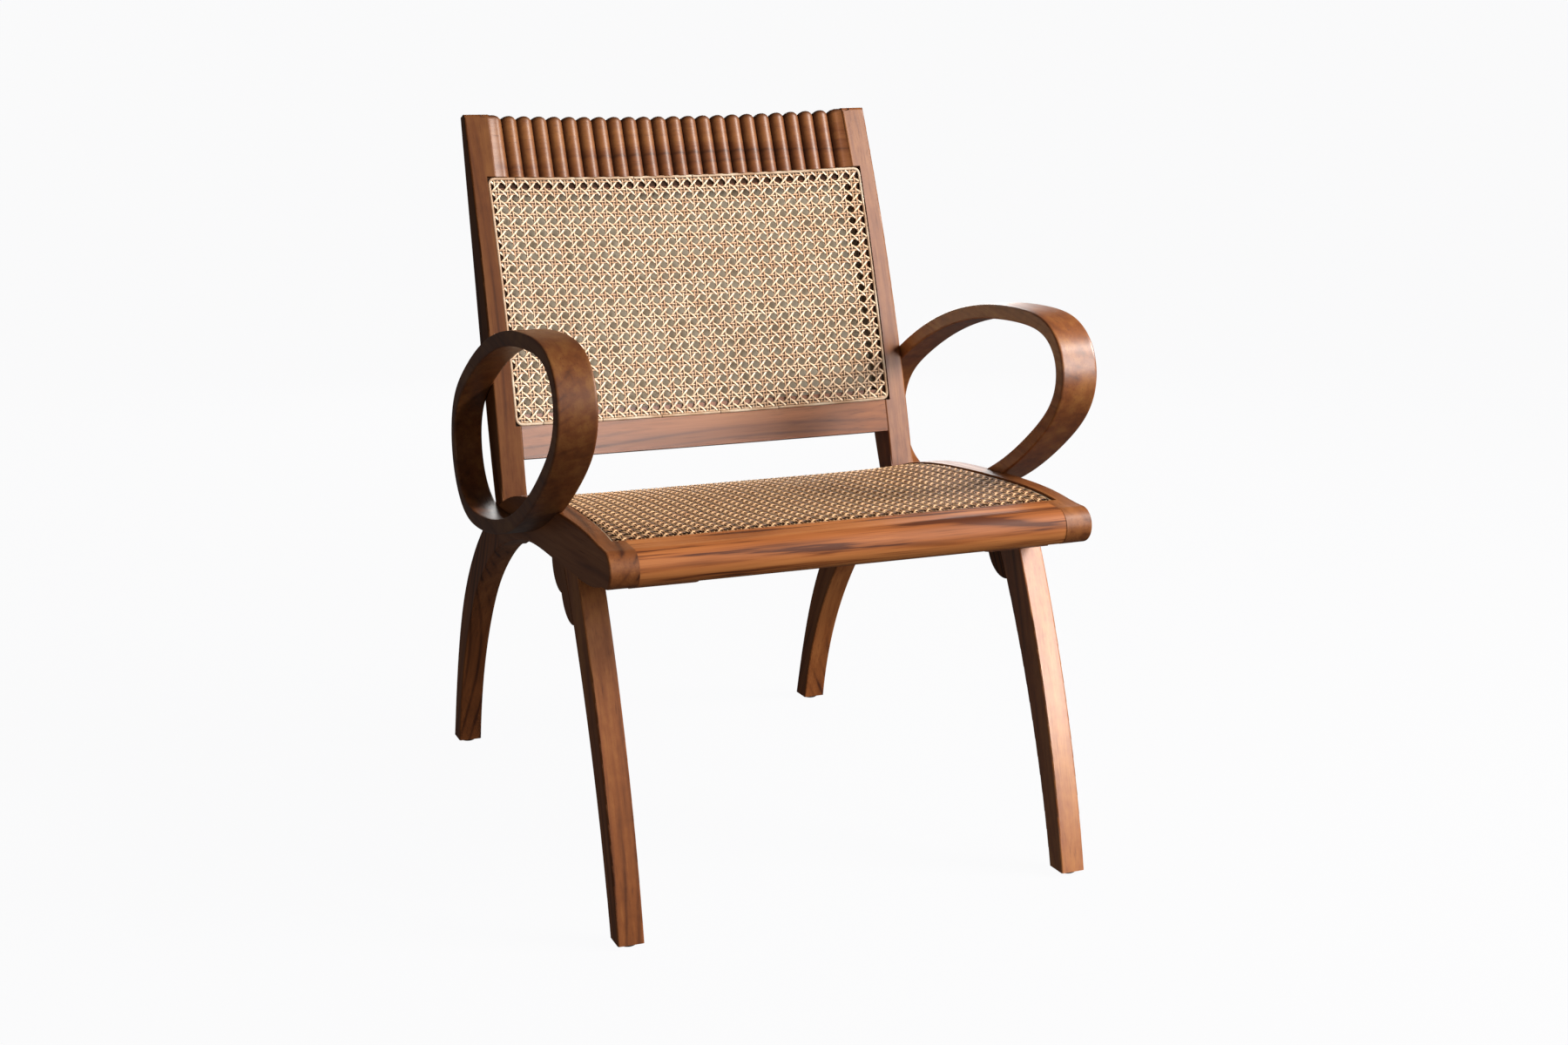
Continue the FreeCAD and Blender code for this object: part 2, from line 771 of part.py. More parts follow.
def cane_section(setback, sag, reach, inner, thickness):
    """An upright section through the seat's cane: flat over the rails, hollow between them."""
    top = crown_height(setback) - S("cane_recess")
    hollow = [(inner * across, top - sag * share) for across, share in SAG_SHARES]
    under = [(x, z - thickness) for x, z in hollow]
    right, left = hollow[-1], hollow[0]
    right_under, left_under = under[-1], under[0]
    return [
        line((-reach, top), left),
        smooth(hollow),
        line(right, (reach, top)),
        line((reach, top), (reach, top - thickness)),
        line((reach, top - thickness), right_under),
        smooth(under[::-1]),
        line(left_under, (-reach, top - thickness)),
        line((-reach, top - thickness), (-reach, top)),
    ]


def cane_sheet(name, thickness):
    """The seat's cane as one sheet, lofted through sections from the front rail to the rear rail."""
    body = new_body(name, half_frame(0.0))
    front, rear = FRONT_RAIL_TOP[0], REAR_RAIL_TOP[0]
    sections = []
    for share in SEAT_STATIONS:
        setback = front + (rear - front) * share
        fall = max(0.0, 1 - abs(2 * share - 1) ** SAG_POWER)
        inner = outer_half(setback) - S("rail_thickness") - S("cane_clearance")
        edges = cane_section(setback, S("seat_sag") * fall, S("front_half_width"), inner, thickness)
        sections.append(sketch_on(body, "XZ_Plane", edges, f"station{len(sections)}", lift=-setback))
    sheet_body = body.newObject("PartDesign::AdditiveLoft", f"{name}_loft")
    sheet_body.Profile = sections[0]
    sheet_body.Sections = sections[1:]
    doc.recompute()
    return body


def rail_section(name, edges):
    body = new_body(name, half_frame(0.0))
    pad(body, sketch_on(body, "YZ_Plane", edges, "section"), "2 * Sizes.front_half_width", midplane=True)
    return body


def rail_gap(name):
    """A block that fills the space between the side rails."""
    size = S("overrun") * 6
    side = block(
        f"{name}_right_limit", moved(SIDE, -S("rail_thickness") - size), (0.0, size),
        (-S("overrun"), S("chair_depth") + 2 * S("overrun")), (0.0, S("seat_rise") + S("overrun")))
    return joined("Part::MultiFuse", name, side, mirrored(f"{name}_left_limit", side))


def front_rail_edges():
    back_top = FRONT_RAIL_TOP
    back_under = (back_top[0], NOSE_UNDER[1])
    return [
        arc(NOSE_TOP, NOSE_FRONT, NOSE_UNDER),
        line(NOSE_UNDER, back_under),
        line(back_under, back_top),
        stretch(CROWN, NOSE_TOP, back_top),
    ]


def rear_rail_edges():
    front_top, back_top = REAR_RAIL_TOP, SPLIT_TOP
    under = back_top[1] - S("rear_rail_drop") / 2
    return [
        stretch(CROWN, front_top, back_top),
        line(back_top, (back_top[0], under)),
        line((back_top[0], under), (front_top[0], front_top[1] - S("rear_rail_drop"))),
        line((front_top[0], front_top[1] - S("rear_rail_drop")), front_top),
    ]


# Fasteners

def screw(name, frame, length):
    """A countersunk screw along local Z, with the top of its head at Z = 0."""
    head = doc.addObject("Part::Cone", f"{name}_head")
    bind(head, "Radius1", "Sizes.screw_head / 2")
    bind(head, "Radius2", "Sizes.screw_shank / 2")
    bind(head, "Height", "Sizes.screw_head_height")
    head.Placement = frame
    shank = doc.addObject("Part::Cylinder", f"{name}_shank")
    bind(shank, "Radius", "Sizes.screw_shank / 2")
    shank.Height = length
    shank.Placement = frame
    return joined("Part::MultiFuse", name, head, shank)


OUTWARD = Rotation(Y_AXIS, 90)


def arm_screws():
    """Two screws through a side rail and one through a stile, into the middle of the band."""
    middle = ArmOutline(S("arm_thickness") / 2)
    front, rear = middle.lower[0] - middle.rear[0] / 2, middle.lower[0]
    screws = []
    for number, share in enumerate(ARM_SCREW_SHARES, start=1):
        setback = front + (rear - front) * share
        frame = moved(SIDE, -S("rail_thickness"), setback, middle.lower_height(setback), OUTWARD)
        screws.append(screw(f"arm_screw_{number}", frame, S("rail_thickness") + S("arm_screw_grip")))
    setback = middle.rear[0] + S("arm_rear_radius") / 3
    rise = middle.upper_height(setback)
    inner = outer_half(setback) - S("stile_width") - (rise - BACK_RISE) * math.tan(
        math.radians(S("back_lean_in_angle")))
    frame = moved(half_frame(inner, setback, rise), rotation=OUTWARD)
    screws.append(screw("arm_screw_stile", frame, S("stile_width") + S("arm_screw_grip")))
    return screws


def rail_dowels(name, shares, low, high, bite):
    """Dowels across the joint between a cross rail and a side rail, which they enter by a bite."""
    rods = []
    for number, share in enumerate(shares, start=1):
        setback = low[0] + (high[0] - low[0]) * share
        rise = low[1] + (high[1] - low[1]) * share
        frame = moved(SIDE, bite - S("rail_thickness") - S("dowel_length"), setback, rise, OUTWARD)
        rods.append(rod(f"{name}_{number}", frame, "Sizes.dowel_diameter", "Sizes.dowel_length"))
    return rods


# Build

parts = []


def keep(item, name):
    item.Label = name
    parts.append(item)
    return item


def keep_pair(item, name):
    """Keep a right-hand piece and its mirror image."""
    keep(item, f"{name}_right")
    keep(mirrored(f"{name}_left_mirror", item), f"{name}_left")


def build_glides():
    """A domed glide with a flat sole, on a nail, under each leg."""
    front_centre = S("front_foot_depth") / 2
    rear_centre = S("chair_depth") - S("rear_foot_depth") / 2
    glides = {}
    for name, centre in (("front", front_centre), ("rear", rear_centre)):
        body = new_body(f"glide_{name}_right", moved(SIDE, -S("leg_thickness") / 2, centre, 0.0))
        sole, height = S("glide_flat_radius"), S("glide_height")
        nail, deep, rim = S("glide_nail_radius"), S("glide_nail_length"), S("glide_radius")
        edges = [
            line((0.0, -height), (sole, -height)),
            bowed((sole, -height), (rim, 0.0), height / 4),
            line((rim, 0.0), (nail, 0.0)),
            line((nail, 0.0), (nail, deep)),
            line((nail, deep), (0.0, deep)),
            line((0.0, deep), (0.0, -height)),
        ]
        feature = body.newObject("PartDesign::Revolution", f"glide_{name}_turned")
        sketch = sketch_on(body, "XZ_Plane", edges, "section")
        feature.Profile = sketch
        feature.ReferenceAxis = (sketch, ["V_Axis"])
        feature.Angle = 360
        doc.recompute()
        glides[name] = body
    return glides


def build_plate():
    """A gusset plate under a front corner of the seat, rounded where it shows."""
    body = new_body("front_plate_blank", moved(SIDE, 0, 0, NOSE_UNDER[1] - S("plate_thickness")))
    inner, reach = -S("rail_thickness"), S("plate_arm")
    front, corner = S("plate_front"), S("plate_corner")
    edges = [
        line((inner, front), (inner - reach, front)),
        bowed((inner - reach - corner, front + corner), (inner - reach, front), corner / 3),
        line((inner - reach - corner, front + corner), (inner, front + reach + corner)),
        line((inner, front + reach + corner), (inner, front)),
    ]
    pad(body, sketch_on(body, "XY_Plane", edges, "plan"), "Sizes.plate_thickness")
    return body


def build_block():
    """A corner block between the rear seat rail and a side rail."""
    front_top = REAR_RAIL_TOP
    rise = front_top[1] - S("rear_rail_drop")
    body = new_body("rear_block_blank", moved(SIDE, 0, 0, rise))
    inner, back, reach = -S("rail_thickness"), front_top[0], S("block_arm")
    edges = polygon([(inner, back), (inner, back - reach), (inner - reach, back)])
    pad(body, sketch_on(body, "XY_Plane", edges, "plan"), "Sizes.block_height")
    return body


def plate_screws():
    screws = []
    upright = Rotation()
    for number, share in enumerate(PLATE_SCREW_SHARES, start=1):
        frame = moved(
            SIDE, -S("rail_thickness") - S("plate_arm") * share, S("plate_front") + S("plate_corner"),
            NOSE_UNDER[1] - S("plate_thickness"), upright)
        screws.append(screw(f"plate_screw_{number}", frame, S("plate_screw_length")))
    return screws


def build():
    seat_depth = S("cane_recess") + S("cane_thickness")
    seat_floor = seat_depth + S("cane_clearance")
    seat_recess = joined(
        "Part::MultiCommon", "seat_recess", seat_plan("seat_opening", -S("cane_clearance")),
        seat_slab("seat_recess_slab", seat_floor - S("overrun"), S("overrun")))
    panel_plan = seat_plan("seat_panel_plan", S("spline_width"))
    seat_cane = joined(
        "Part::MultiCommon", "seat_cane", panel_plan, cane_sheet("seat_cane_sheet", S("cane_thickness")))
    spline_drop = S("cane_recess") + S("seat_spline_drop")
    seat_spline = cut(
        "seat_spline_ring",
        joined(
            "Part::MultiCommon", "seat_spline_frame", seat_plan("seat_spline_plan", 0.0),
            seat_slab("seat_spline_slab", spline_drop, seat_depth - spline_drop)),
        panel_plan)

    back_low, back_high = LOWER_TOP, CREST_RISE
    back_depth = S("cane_recess") + S("cane_thickness")
    back_half, edge = outer_half(BACK_SETBACK) - S("back_panel_inset"), S("spline_width")
    gap = S("cane_clearance")
    back_recess = bowed_slab(
        "back_recess", -S("overrun"), back_depth + gap, back_low - gap, back_high + gap, back_half + gap)
    back_cane = bowed_slab(
        "back_cane", S("cane_recess"), back_depth, back_low + edge, back_high - edge, back_half - edge)
    back_spline = cut(
        "back_spline_ring",
        bowed_slab("back_spline_frame", S("cane_recess"), back_depth, back_low, back_high, back_half),
        back_cane)

    arm = arm_body()
    rail = side_rail_body()
    leg = front_leg_body("front_leg_blank", True)
    rear_leg = rear_leg_body()
    stile = stile_body()
    glides = build_glides()
    thickness, deep = S("tenon_thickness"), S("tenon_length")
    leg_middle = -(S("leg_thickness") + thickness) / 2
    top_depth = S("front_leg_top_depth")
    leg_tenon = block(
        "front_leg_tenon", SIDE, (leg_middle, thickness),
        (S("front_leg_rake") + S("tenon_shoulder"), top_depth * TENON_SHARE),
        (LEG_TOP_FRONT[1] - deep, 2 * deep))
    split = Vector(0, SPLIT_TOP[0] - SPLIT_UNDER[0], SPLIT_TOP[1] - SPLIT_UNDER[1])
    tilt = math.degrees(math.atan2(split.y, split.z))
    rear_tenon = block(
        "rear_leg_tenon", moved(SIDE, leg_middle, SPLIT_UNDER[0], SPLIT_UNDER[1], Rotation(X_AXIS, -tilt)),
        (0.0, thickness), (-deep, 2 * deep),
        (split.Length * (1 - TENON_SHARE) / 2, split.Length * TENON_SHARE))
    stile_tenon = block(
        "stile_tenon", STILE, (leg_middle, thickness),
        (S("tenon_shoulder") / 2, S("stile_foot_depth") * TENON_SHARE), (-S("stile_scribe") - deep, 2 * deep))

    front_low = NOSE_FRONT
    front_high = (FRONT_RAIL_TOP[0], NOSE_RISE)
    front_dowels = rail_dowels("front_dowel", FRONT_DOWEL_SHARES, front_low, front_high, S("front_dowel_bite"))
    rear_front, rear_back = REAR_RAIL_TOP, SPLIT_TOP
    drop = S("rear_rail_drop") / 2
    rear_dowels = rail_dowels(
        "rear_dowel", REAR_DOWEL_SHARES,
        (rear_front[0], rear_front[1] - drop), (rear_back[0], rear_back[1] - drop / 2), S("rear_dowel_bite"))
    dowels_right = group("dowels_right", front_dowels + rear_dowels)
    dowels = group("dowels", [dowels_right, mirrored("dowels_left", dowels_right)])
    screws_right = group("arm_screws_right", arm_screws())
    arm_fixings = group("arm_fixings", [screws_right, mirrored("arm_screws_left", screws_right)])

    keep_pair(
        cut("side_rail", rail, leg_tenon, rear_tenon, stile_tenon, seat_recess, arm, dowels_right,
            screws_right),
        "side_rail")
    leg_top = cut("front_leg_shoulder", leg, rail)
    keep_pair(
        cut("front_leg", joined("Part::MultiFuse", "front_leg_tenoned", leg_top, leg_tenon), glides["front"]),
        "front_leg")
    leg_socket = front_leg_body("front_leg_socket", False)
    keep_pair(cut("front_bracket", bracket_body(), rail, leg_socket), "front_leg_bracket")
    keep_pair(
        cut("rear_leg", joined("Part::MultiFuse", "rear_leg_tenoned", rear_leg, rear_tenon), glides["rear"],
            dowels_right),
        "rear_leg")
    keep_pair(cut("arm_loop", arm, screws_right), "arm_loop")

    stile_space = stile_gap("stile_gap")
    rail_space = rail_gap("rail_gap")
    lap = S("tenon_length")
    crest_tenon = block(
        "crest_tenon", moved(STILE, -S("stile_width") - lap / 2), (0.0, lap * 1.5),
        (back_face(S("back_length") - S("crest_height") / 2) + S("tenon_shoulder"), S("tenon_shoulder")),
        (CREST_RISE + S("tenon_shoulder"), S("crest_height") - 3 * S("tenon_shoulder")))
    lower_tenon = block(
        "lower_rail_tenon", moved(STILE, -S("stile_width") - lap / 2), (0.0, lap * 1.5),
        (back_face(LOWER_TOP) + S("tenon_shoulder"), S("tenon_shoulder")),
        (S("lower_rail_rise") + S("tenon_shoulder") / 2, S("lower_rail_height") - 2 * S("tenon_shoulder")))
    pin_frame = moved(
        STILE, -S("stile_width") + S("tenon_shoulder"), back_face(S("lower_rail_rise")),
        S("lower_rail_rise") + S("pin_rise"), Rotation(X_AXIS, -90))
    pin_right = rod("back_pin_right", pin_frame, "Sizes.pin_diameter", "Sizes.pin_length")
    pins = group("back_pins", [pin_right, mirrored("back_pin_left", pin_right)])

    stile_shoulder = cut("stile_shoulder", stile, rail)
    stile_whole = joined("Part::MultiFuse", "stile_tenoned", stile_shoulder, stile_tenon)
    keep_pair(
        cut("back_stile", stile_whole, arm, back_recess, crest_tenon, lower_tenon, pin_right, screws_right),
        "back_stile")

    crest = joined("Part::MultiCommon", "crest_shouldered", crest_body(), stile_space)
    crest_whole = joined(
        "Part::MultiFuse", "crest_tenoned", crest, crest_tenon, mirrored("crest_tenon_left", crest_tenon))
    keep(cut("crest", crest_whole, back_recess), "crest_rail")
    lower = joined("Part::MultiCommon", "lower_shouldered", lower_rail_body(), stile_space)
    lower_whole = joined(
        "Part::MultiFuse", "lower_tenoned", lower, lower_tenon, mirrored("lower_tenon_left", lower_tenon))
    keep(cut("lower_back", lower_whole, back_recess, pins), "lower_back_rail")
    keep(back_cane, "cane_back")
    keep(back_spline, "back_cane_spline")

    plate = build_plate()
    plate_fixings_right = group("plate_screws_right", plate_screws())
    plate_fixings_left = mirrored("plate_screws_left", plate_fixings_right)
    plate_fixings = group("plate_fixings", [plate_fixings_right, plate_fixings_left])
    front = joined(
        "Part::MultiCommon", "front_rail_shouldered", rail_section("front_rail_blank", front_rail_edges()),
        rail_space)
    keep(cut("front_seat_rail", front, seat_recess, dowels, plate_fixings), "front_rail")
    rear = joined(
        "Part::MultiCommon", "rear_rail_shouldered", rail_section("rear_rail_blank", rear_rail_edges()),
        rail_space)
    keep(cut("rear_seat", rear, seat_recess, dowels), "rear_seat_rail")
    keep(seat_cane, "cane_seat")
    keep(seat_spline, "seat_cane_spline")
    keep_pair(cut("front_plate", plate, plate_fixings_right), "front_corner_plate")
    keep_pair(build_block(), "rear_corner_block")

    for name, glide in glides.items():
        keep_pair(glide, f"glide_{name}")
    keep(dowels, "rail_dowels")
    keep(arm_fixings, "arm_screws")
    keep(plate_fixings, "plate_screws")
    keep(pins, "back_joint_pins")


def write_parts():
    doc.recompute()
    for item in doc.Objects:
        if any(word in item.State for word in ("Invalid", "Error")):
            raise RuntimeError(f"{item.Name}: {item.State}")
    for item in parts:
        if item.Shape.isNull() or not item.Shape.isValid():
            raise RuntimeError(f"{item.Label} has no valid shape")
    os.makedirs("parts", exist_ok=True)
    whole = FreeCAD.BoundBox()
    for item in parts:
        item.Shape.exportStep(f"parts/{item.Label}.step")
        whole.add(item.Shape.BoundBox)
        print(item.Label, len(item.Shape.Solids), round(item.Shape.Volume))
    print("box", whole)


build()
write_parts()
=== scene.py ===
import math
import random

import bpy
import numpy as np
from bpy.props import FloatProperty, FloatVectorProperty, IntProperty, PointerProperty
from mathutils import Matrix, Vector
from mathutils.bvhtree import BVHTree


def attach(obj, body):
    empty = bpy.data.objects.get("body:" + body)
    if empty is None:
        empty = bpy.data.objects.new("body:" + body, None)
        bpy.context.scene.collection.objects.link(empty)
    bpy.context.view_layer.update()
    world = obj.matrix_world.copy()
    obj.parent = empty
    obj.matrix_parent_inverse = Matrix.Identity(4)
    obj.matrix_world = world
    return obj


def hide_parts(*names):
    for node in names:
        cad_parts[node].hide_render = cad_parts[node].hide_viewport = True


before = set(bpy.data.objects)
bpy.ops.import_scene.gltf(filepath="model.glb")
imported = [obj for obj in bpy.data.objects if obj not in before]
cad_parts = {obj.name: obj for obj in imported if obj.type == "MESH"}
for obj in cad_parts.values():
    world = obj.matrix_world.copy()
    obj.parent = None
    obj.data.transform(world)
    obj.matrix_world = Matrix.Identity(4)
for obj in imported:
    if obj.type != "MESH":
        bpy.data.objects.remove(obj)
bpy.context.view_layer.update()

bl_info = {
    "name": "Planters chair",
    "version": (1, 0, 0),
    "blender": (4, 5, 0),
    "location": "3D View > Sidebar > Chair",
    "description": "Finishes the teak frame, cuts the reeded crest and weaves the cane of a planters chair",
    "category": "Object",
}

MM = 0.001

# The frame's sizes, in metres
CHAIR_FRONT = -0.369168
SOLE = 0.0045
FRONT_HALF_WIDTH = 0.2759
REAR_HALF_WIDTH = 0.2622
CHAIR_DEPTH = 0.739
BACK_SETBACK = 0.438
BACK_RISE = 0.384
BACK_LENGTH = 0.4643
BACK_LEAN = math.radians(18.75)
SIDE_BOW = 0.012
PLAN_BOW = 0.015
STILE_WIDTH = 0.030
CREST_HEIGHT = 0.0793
CREST_THICKNESS = 0.022
CREST_ROUND = 0.005
REED_COUNT = 22
REED_PITCH = 0.0194
REED_DEPTH = 0.0065
BLOCK_OVERLAP = 0.004
# How far down from the crest's top its painted shade reaches, and over how much it fades
PAINTED_SHADE_REACH = 0.0075
PAINTED_SHADE_FADE = 0.006
LOWER_TOP = 0.084
RABBET_LAP = 0.014
RECESS_DEPTH = 0.0048
CANE_RECESS = 0.0015
CANE_THICKNESS = 0.003
SPLINE_WIDTH = 0.004
BACK_PANEL_HALF = 0.2445
BACKING_HALF = 0.2390
BACK_WEAVE_ORIGIN = (0.0069, 0.00375)
SHORTEST_STRAND = 0.004
STATION_GAP = 0.0008
PAIR_WIDTH = 0.68
BEAD_WIDTH = 0.00352
BEAD_HEIGHT = 0.0028
BEAD_LENGTH = 0.0767
SEAT_BEAD_LENGTH = 0.2
BEAD_JOINT = 0.0213
SEAT_FRONT = 0.055
SEAT_REAR = 0.470
SEAT_FRONT_HALF = 0.257
SEAT_REAR_HALF = 0.235
ARM_INNER = 0.2656
ARM_FRONT = (0.1242, 0.5494)
ARM_REAR = (0.4639, 0.4395)
ARM_FRONT_RADIUS = 0.0631
ARM_REAR_RADIUS = 0.0841
ARM_UPPER_RADIUS = 0.5817
ARM_LOWER_RADIUS = 0.5295
ARM_THICKNESS = 0.017
ARM_FRONT_WIDTH = 0.0435
ARM_REAR_WIDTH = 0.0338
ARM_ROUND = 0.002
ARM_EASE = 0.030

TAPER = math.atan2(FRONT_HALF_WIDTH - REAR_HALF_WIDTH, CHAIR_DEPTH)
BOW_HALF = FRONT_HALF_WIDTH - math.tan(TAPER) * BACK_SETBACK - STILE_WIDTH
BOW_RADIUS = (BOW_HALF ** 2 + PLAN_BOW ** 2) / (2 * PLAN_BOW)
BOW_CENTRE = BOW_RADIUS - PLAN_BOW
SIDE_RADIUS = ((BACK_LENGTH / 2) ** 2 + SIDE_BOW ** 2) / (2 * SIDE_BOW)
CREST_RISE = BACK_LENGTH - CREST_HEIGHT
REED_RADIUS = ((REED_PITCH / 2) ** 2 + REED_DEPTH ** 2) / (2 * REED_DEPTH)

BACK = (Matrix.Translation((0, CHAIR_FRONT + BACK_SETBACK, SOLE + BACK_RISE))
        @ Matrix.Rotation(-BACK_LEAN, 4, "X"))


def side_bow(up):
    """How far the stiles' front line stands from its chord, at a height up the back."""
    return SIDE_RADIUS - SIDE_BOW - np.sqrt(SIDE_RADIUS ** 2 - (up - BACK_LENGTH / 2) ** 2)


CREST_TILT = math.atan2(side_bow(BACK_LENGTH) - side_bow(CREST_RISE), CREST_HEIGHT)
CREST = (BACK @ Matrix.Translation((0, side_bow(CREST_RISE), CREST_RISE))
         @ Matrix.Rotation(-CREST_TILT, 4, "X"))


def placed(matrix, x, y, z):
    """Points given in a frame, as an array of places in the room."""
    turn = np.array(matrix.to_3x3())
    local = np.stack(np.broadcast_arrays(x, y, z), axis=-1)
    return local @ turn.T + np.array(matrix.translation)


def bowed(matrix, across, up, radius):
    """Points on a bow in a frame, by their way along it and up it."""
    turn = across / BOW_RADIUS
    return placed(matrix, radius * np.sin(turn), radius * np.cos(turn) - BOW_CENTRE, up)


def back_points(across, up, depth):
    """Points by their way along the bow, up the back and behind the stiles' faces."""
    return bowed(BACK, across, up, BOW_RADIUS + side_bow(up) + depth)


def crest_points(across, up, depth):
    """The same for the crest, whose face is straight from its foot to its top."""
    return bowed(CREST, across, up, BOW_RADIUS + depth)


# Sizes and colours that a user would change

class TeakSettings(bpy.types.PropertyGroup):
    dark: FloatVectorProperty(
        name="Dark grain", description="Colour of the late wood and the pores", subtype="COLOR",
        size=3, min=0, max=1, default=(0.070, 0.020, 0.008))
    middle: FloatVectorProperty(
        name="Body", description="Colour of the oiled wood", subtype="COLOR",
        size=3, min=0, max=1, default=(0.235, 0.074, 0.021))
    light: FloatVectorProperty(
        name="Light grain", description="Colour of the early wood", subtype="COLOR",
        size=3, min=0, max=1, default=(0.390, 0.145, 0.044))
    ring_width: FloatProperty(
        name="Ring width", description="Distance between two growth rings", unit="LENGTH",
        default=0.013, min=0.002, max=0.03)
    roughness: FloatProperty(
        name="Roughness", description="Roughness of the rubbed finish", subtype="FACTOR",
        default=0.40, min=0, max=1)


class CaneSettings(bpy.types.PropertyGroup):
    pitch: FloatProperty(
        name="Mesh", description="Distance between two pairs of strands across the chair", unit="LENGTH",
        default=0.01505, min=0.008, max=0.03)
    stretch: FloatProperty(
        name="Stretch", description="Height of a mesh as a share of its width", subtype="FACTOR",
        default=0.963, min=0.7, max=1.4)
    pair_gap: FloatProperty(
        name="Pair", description="Distance between the middles of the two strands of a pair",
        unit="LENGTH", default=0.0040, min=0.002, max=0.008)
    width: FloatProperty(
        name="Strand width", description="Width of one strand", unit="LENGTH",
        default=0.0022, min=0.001, max=0.005)
    thickness: FloatProperty(
        name="Strand thickness", description="Thickness of one strand", unit="LENGTH",
        default=0.0012, min=0.0004, max=0.002)
    straw: FloatVectorProperty(
        name="Straw", description="Colour of the cane's skin", subtype="COLOR",
        size=3, min=0, max=1, default=(0.86, 0.70, 0.51))
    tan: FloatVectorProperty(
        name="Tan", description="Colour of the older strands", subtype="COLOR",
        size=3, min=0, max=1, default=(0.54, 0.32, 0.175))
    backing: FloatVectorProperty(
        name="Backing", description="Colour of the board behind the back's cane", subtype="COLOR",
        size=3, min=0, max=1, default=(0.55, 0.48, 0.37))
    # The seat's dark board is painted shade under its cane.
    seat_shade_board: FloatVectorProperty(
        name="Seat backing", description="Colour of the board under the seat's cane", subtype="COLOR",
        size=3, min=0, max=1, default=(0.060, 0.035, 0.020))
    backing_depth: FloatProperty(
        name="Backing depth", description="How far the back's backing lies behind the stiles' faces",
        unit="LENGTH", default=0.0185, min=0.005, max=0.021)
    seed: IntProperty(name="Seed", description="Which set of hand-made unevenness", default=7, min=0)


class CrestSettings(bpy.types.PropertyGroup):
    dome_rise: FloatProperty(
        name="Dome rise", description="How far a reed's top rises over the grooves beside it", unit="LENGTH",
        default=0.0028, min=0, max=0.01)
    dome_round: FloatProperty(
        name="Dome round", description="Radius of the reeds' front top edges", unit="LENGTH",
        default=0.0062, min=0.001, max=0.01)


class StageSettings(bpy.types.PropertyGroup):
    floor: FloatVectorProperty(
        name="Floor", description="Colour of the floor and backdrop", subtype="COLOR",
        size=3, min=0, max=1, default=(0.955, 0.955, 0.96))
    key: FloatProperty(name="Key", description="Power of the main light in watts", default=190, min=0)
    front: FloatProperty(name="Front", description="Power of the tall light at the front in watts",
                         default=56, min=0)
    low: FloatProperty(name="Low", description="Power of the low light near the floor in watts",
                       default=5, min=0)
    fill: FloatProperty(name="Fill", description="Power of the soft light from the left in watts",
                        default=10, min=0)
    rear: FloatProperty(name="Rear", description="Power of the light behind the chair in watts",
                        default=45, min=0)
    sky: FloatProperty(name="Sky", description="Strength of the even light all around", default=0.07, min=0)
    lens: FloatProperty(name="Lens", description="Focal length in millimetres", default=50.5, min=10, max=200)


# Node trees written as sums

class Field:
    """A value in a finish's node tree. Sums, products and powers of fields add their nodes."""

    def __init__(self, finish, socket):
        self.finish, self.socket = finish, socket

    def _math(self, operation, *values):
        return self.finish.node("ShaderNodeMath", {"operation": operation}, dict(enumerate(values)))

    def __add__(self, other):
        return self._math("ADD", self, other)

    def __radd__(self, other):
        return self._math("ADD", other, self)

    def __sub__(self, other):
        return self._math("SUBTRACT", self, other)

    def __rsub__(self, other):
        return self._math("SUBTRACT", other, self)

    def __mul__(self, other):
        return self._math("MULTIPLY", self, other)

    def __rmul__(self, other):
        return self._math("MULTIPLY", other, self)

    def __pow__(self, other):
        return self._math("POWER", self, other)

    def __rpow__(self, other):
        return self._math("POWER", other, self)

    def sine(self):
        return self._math("SINE", self)

    def between(self, low, high):
        """This value mapped from low..high to 0..1, with soft ends."""
        return self.finish.node(
            "ShaderNodeMapRange", {"interpolation_type": "SMOOTHSTEP"},
            {"Value": self, "From Min": low, "From Max": high})


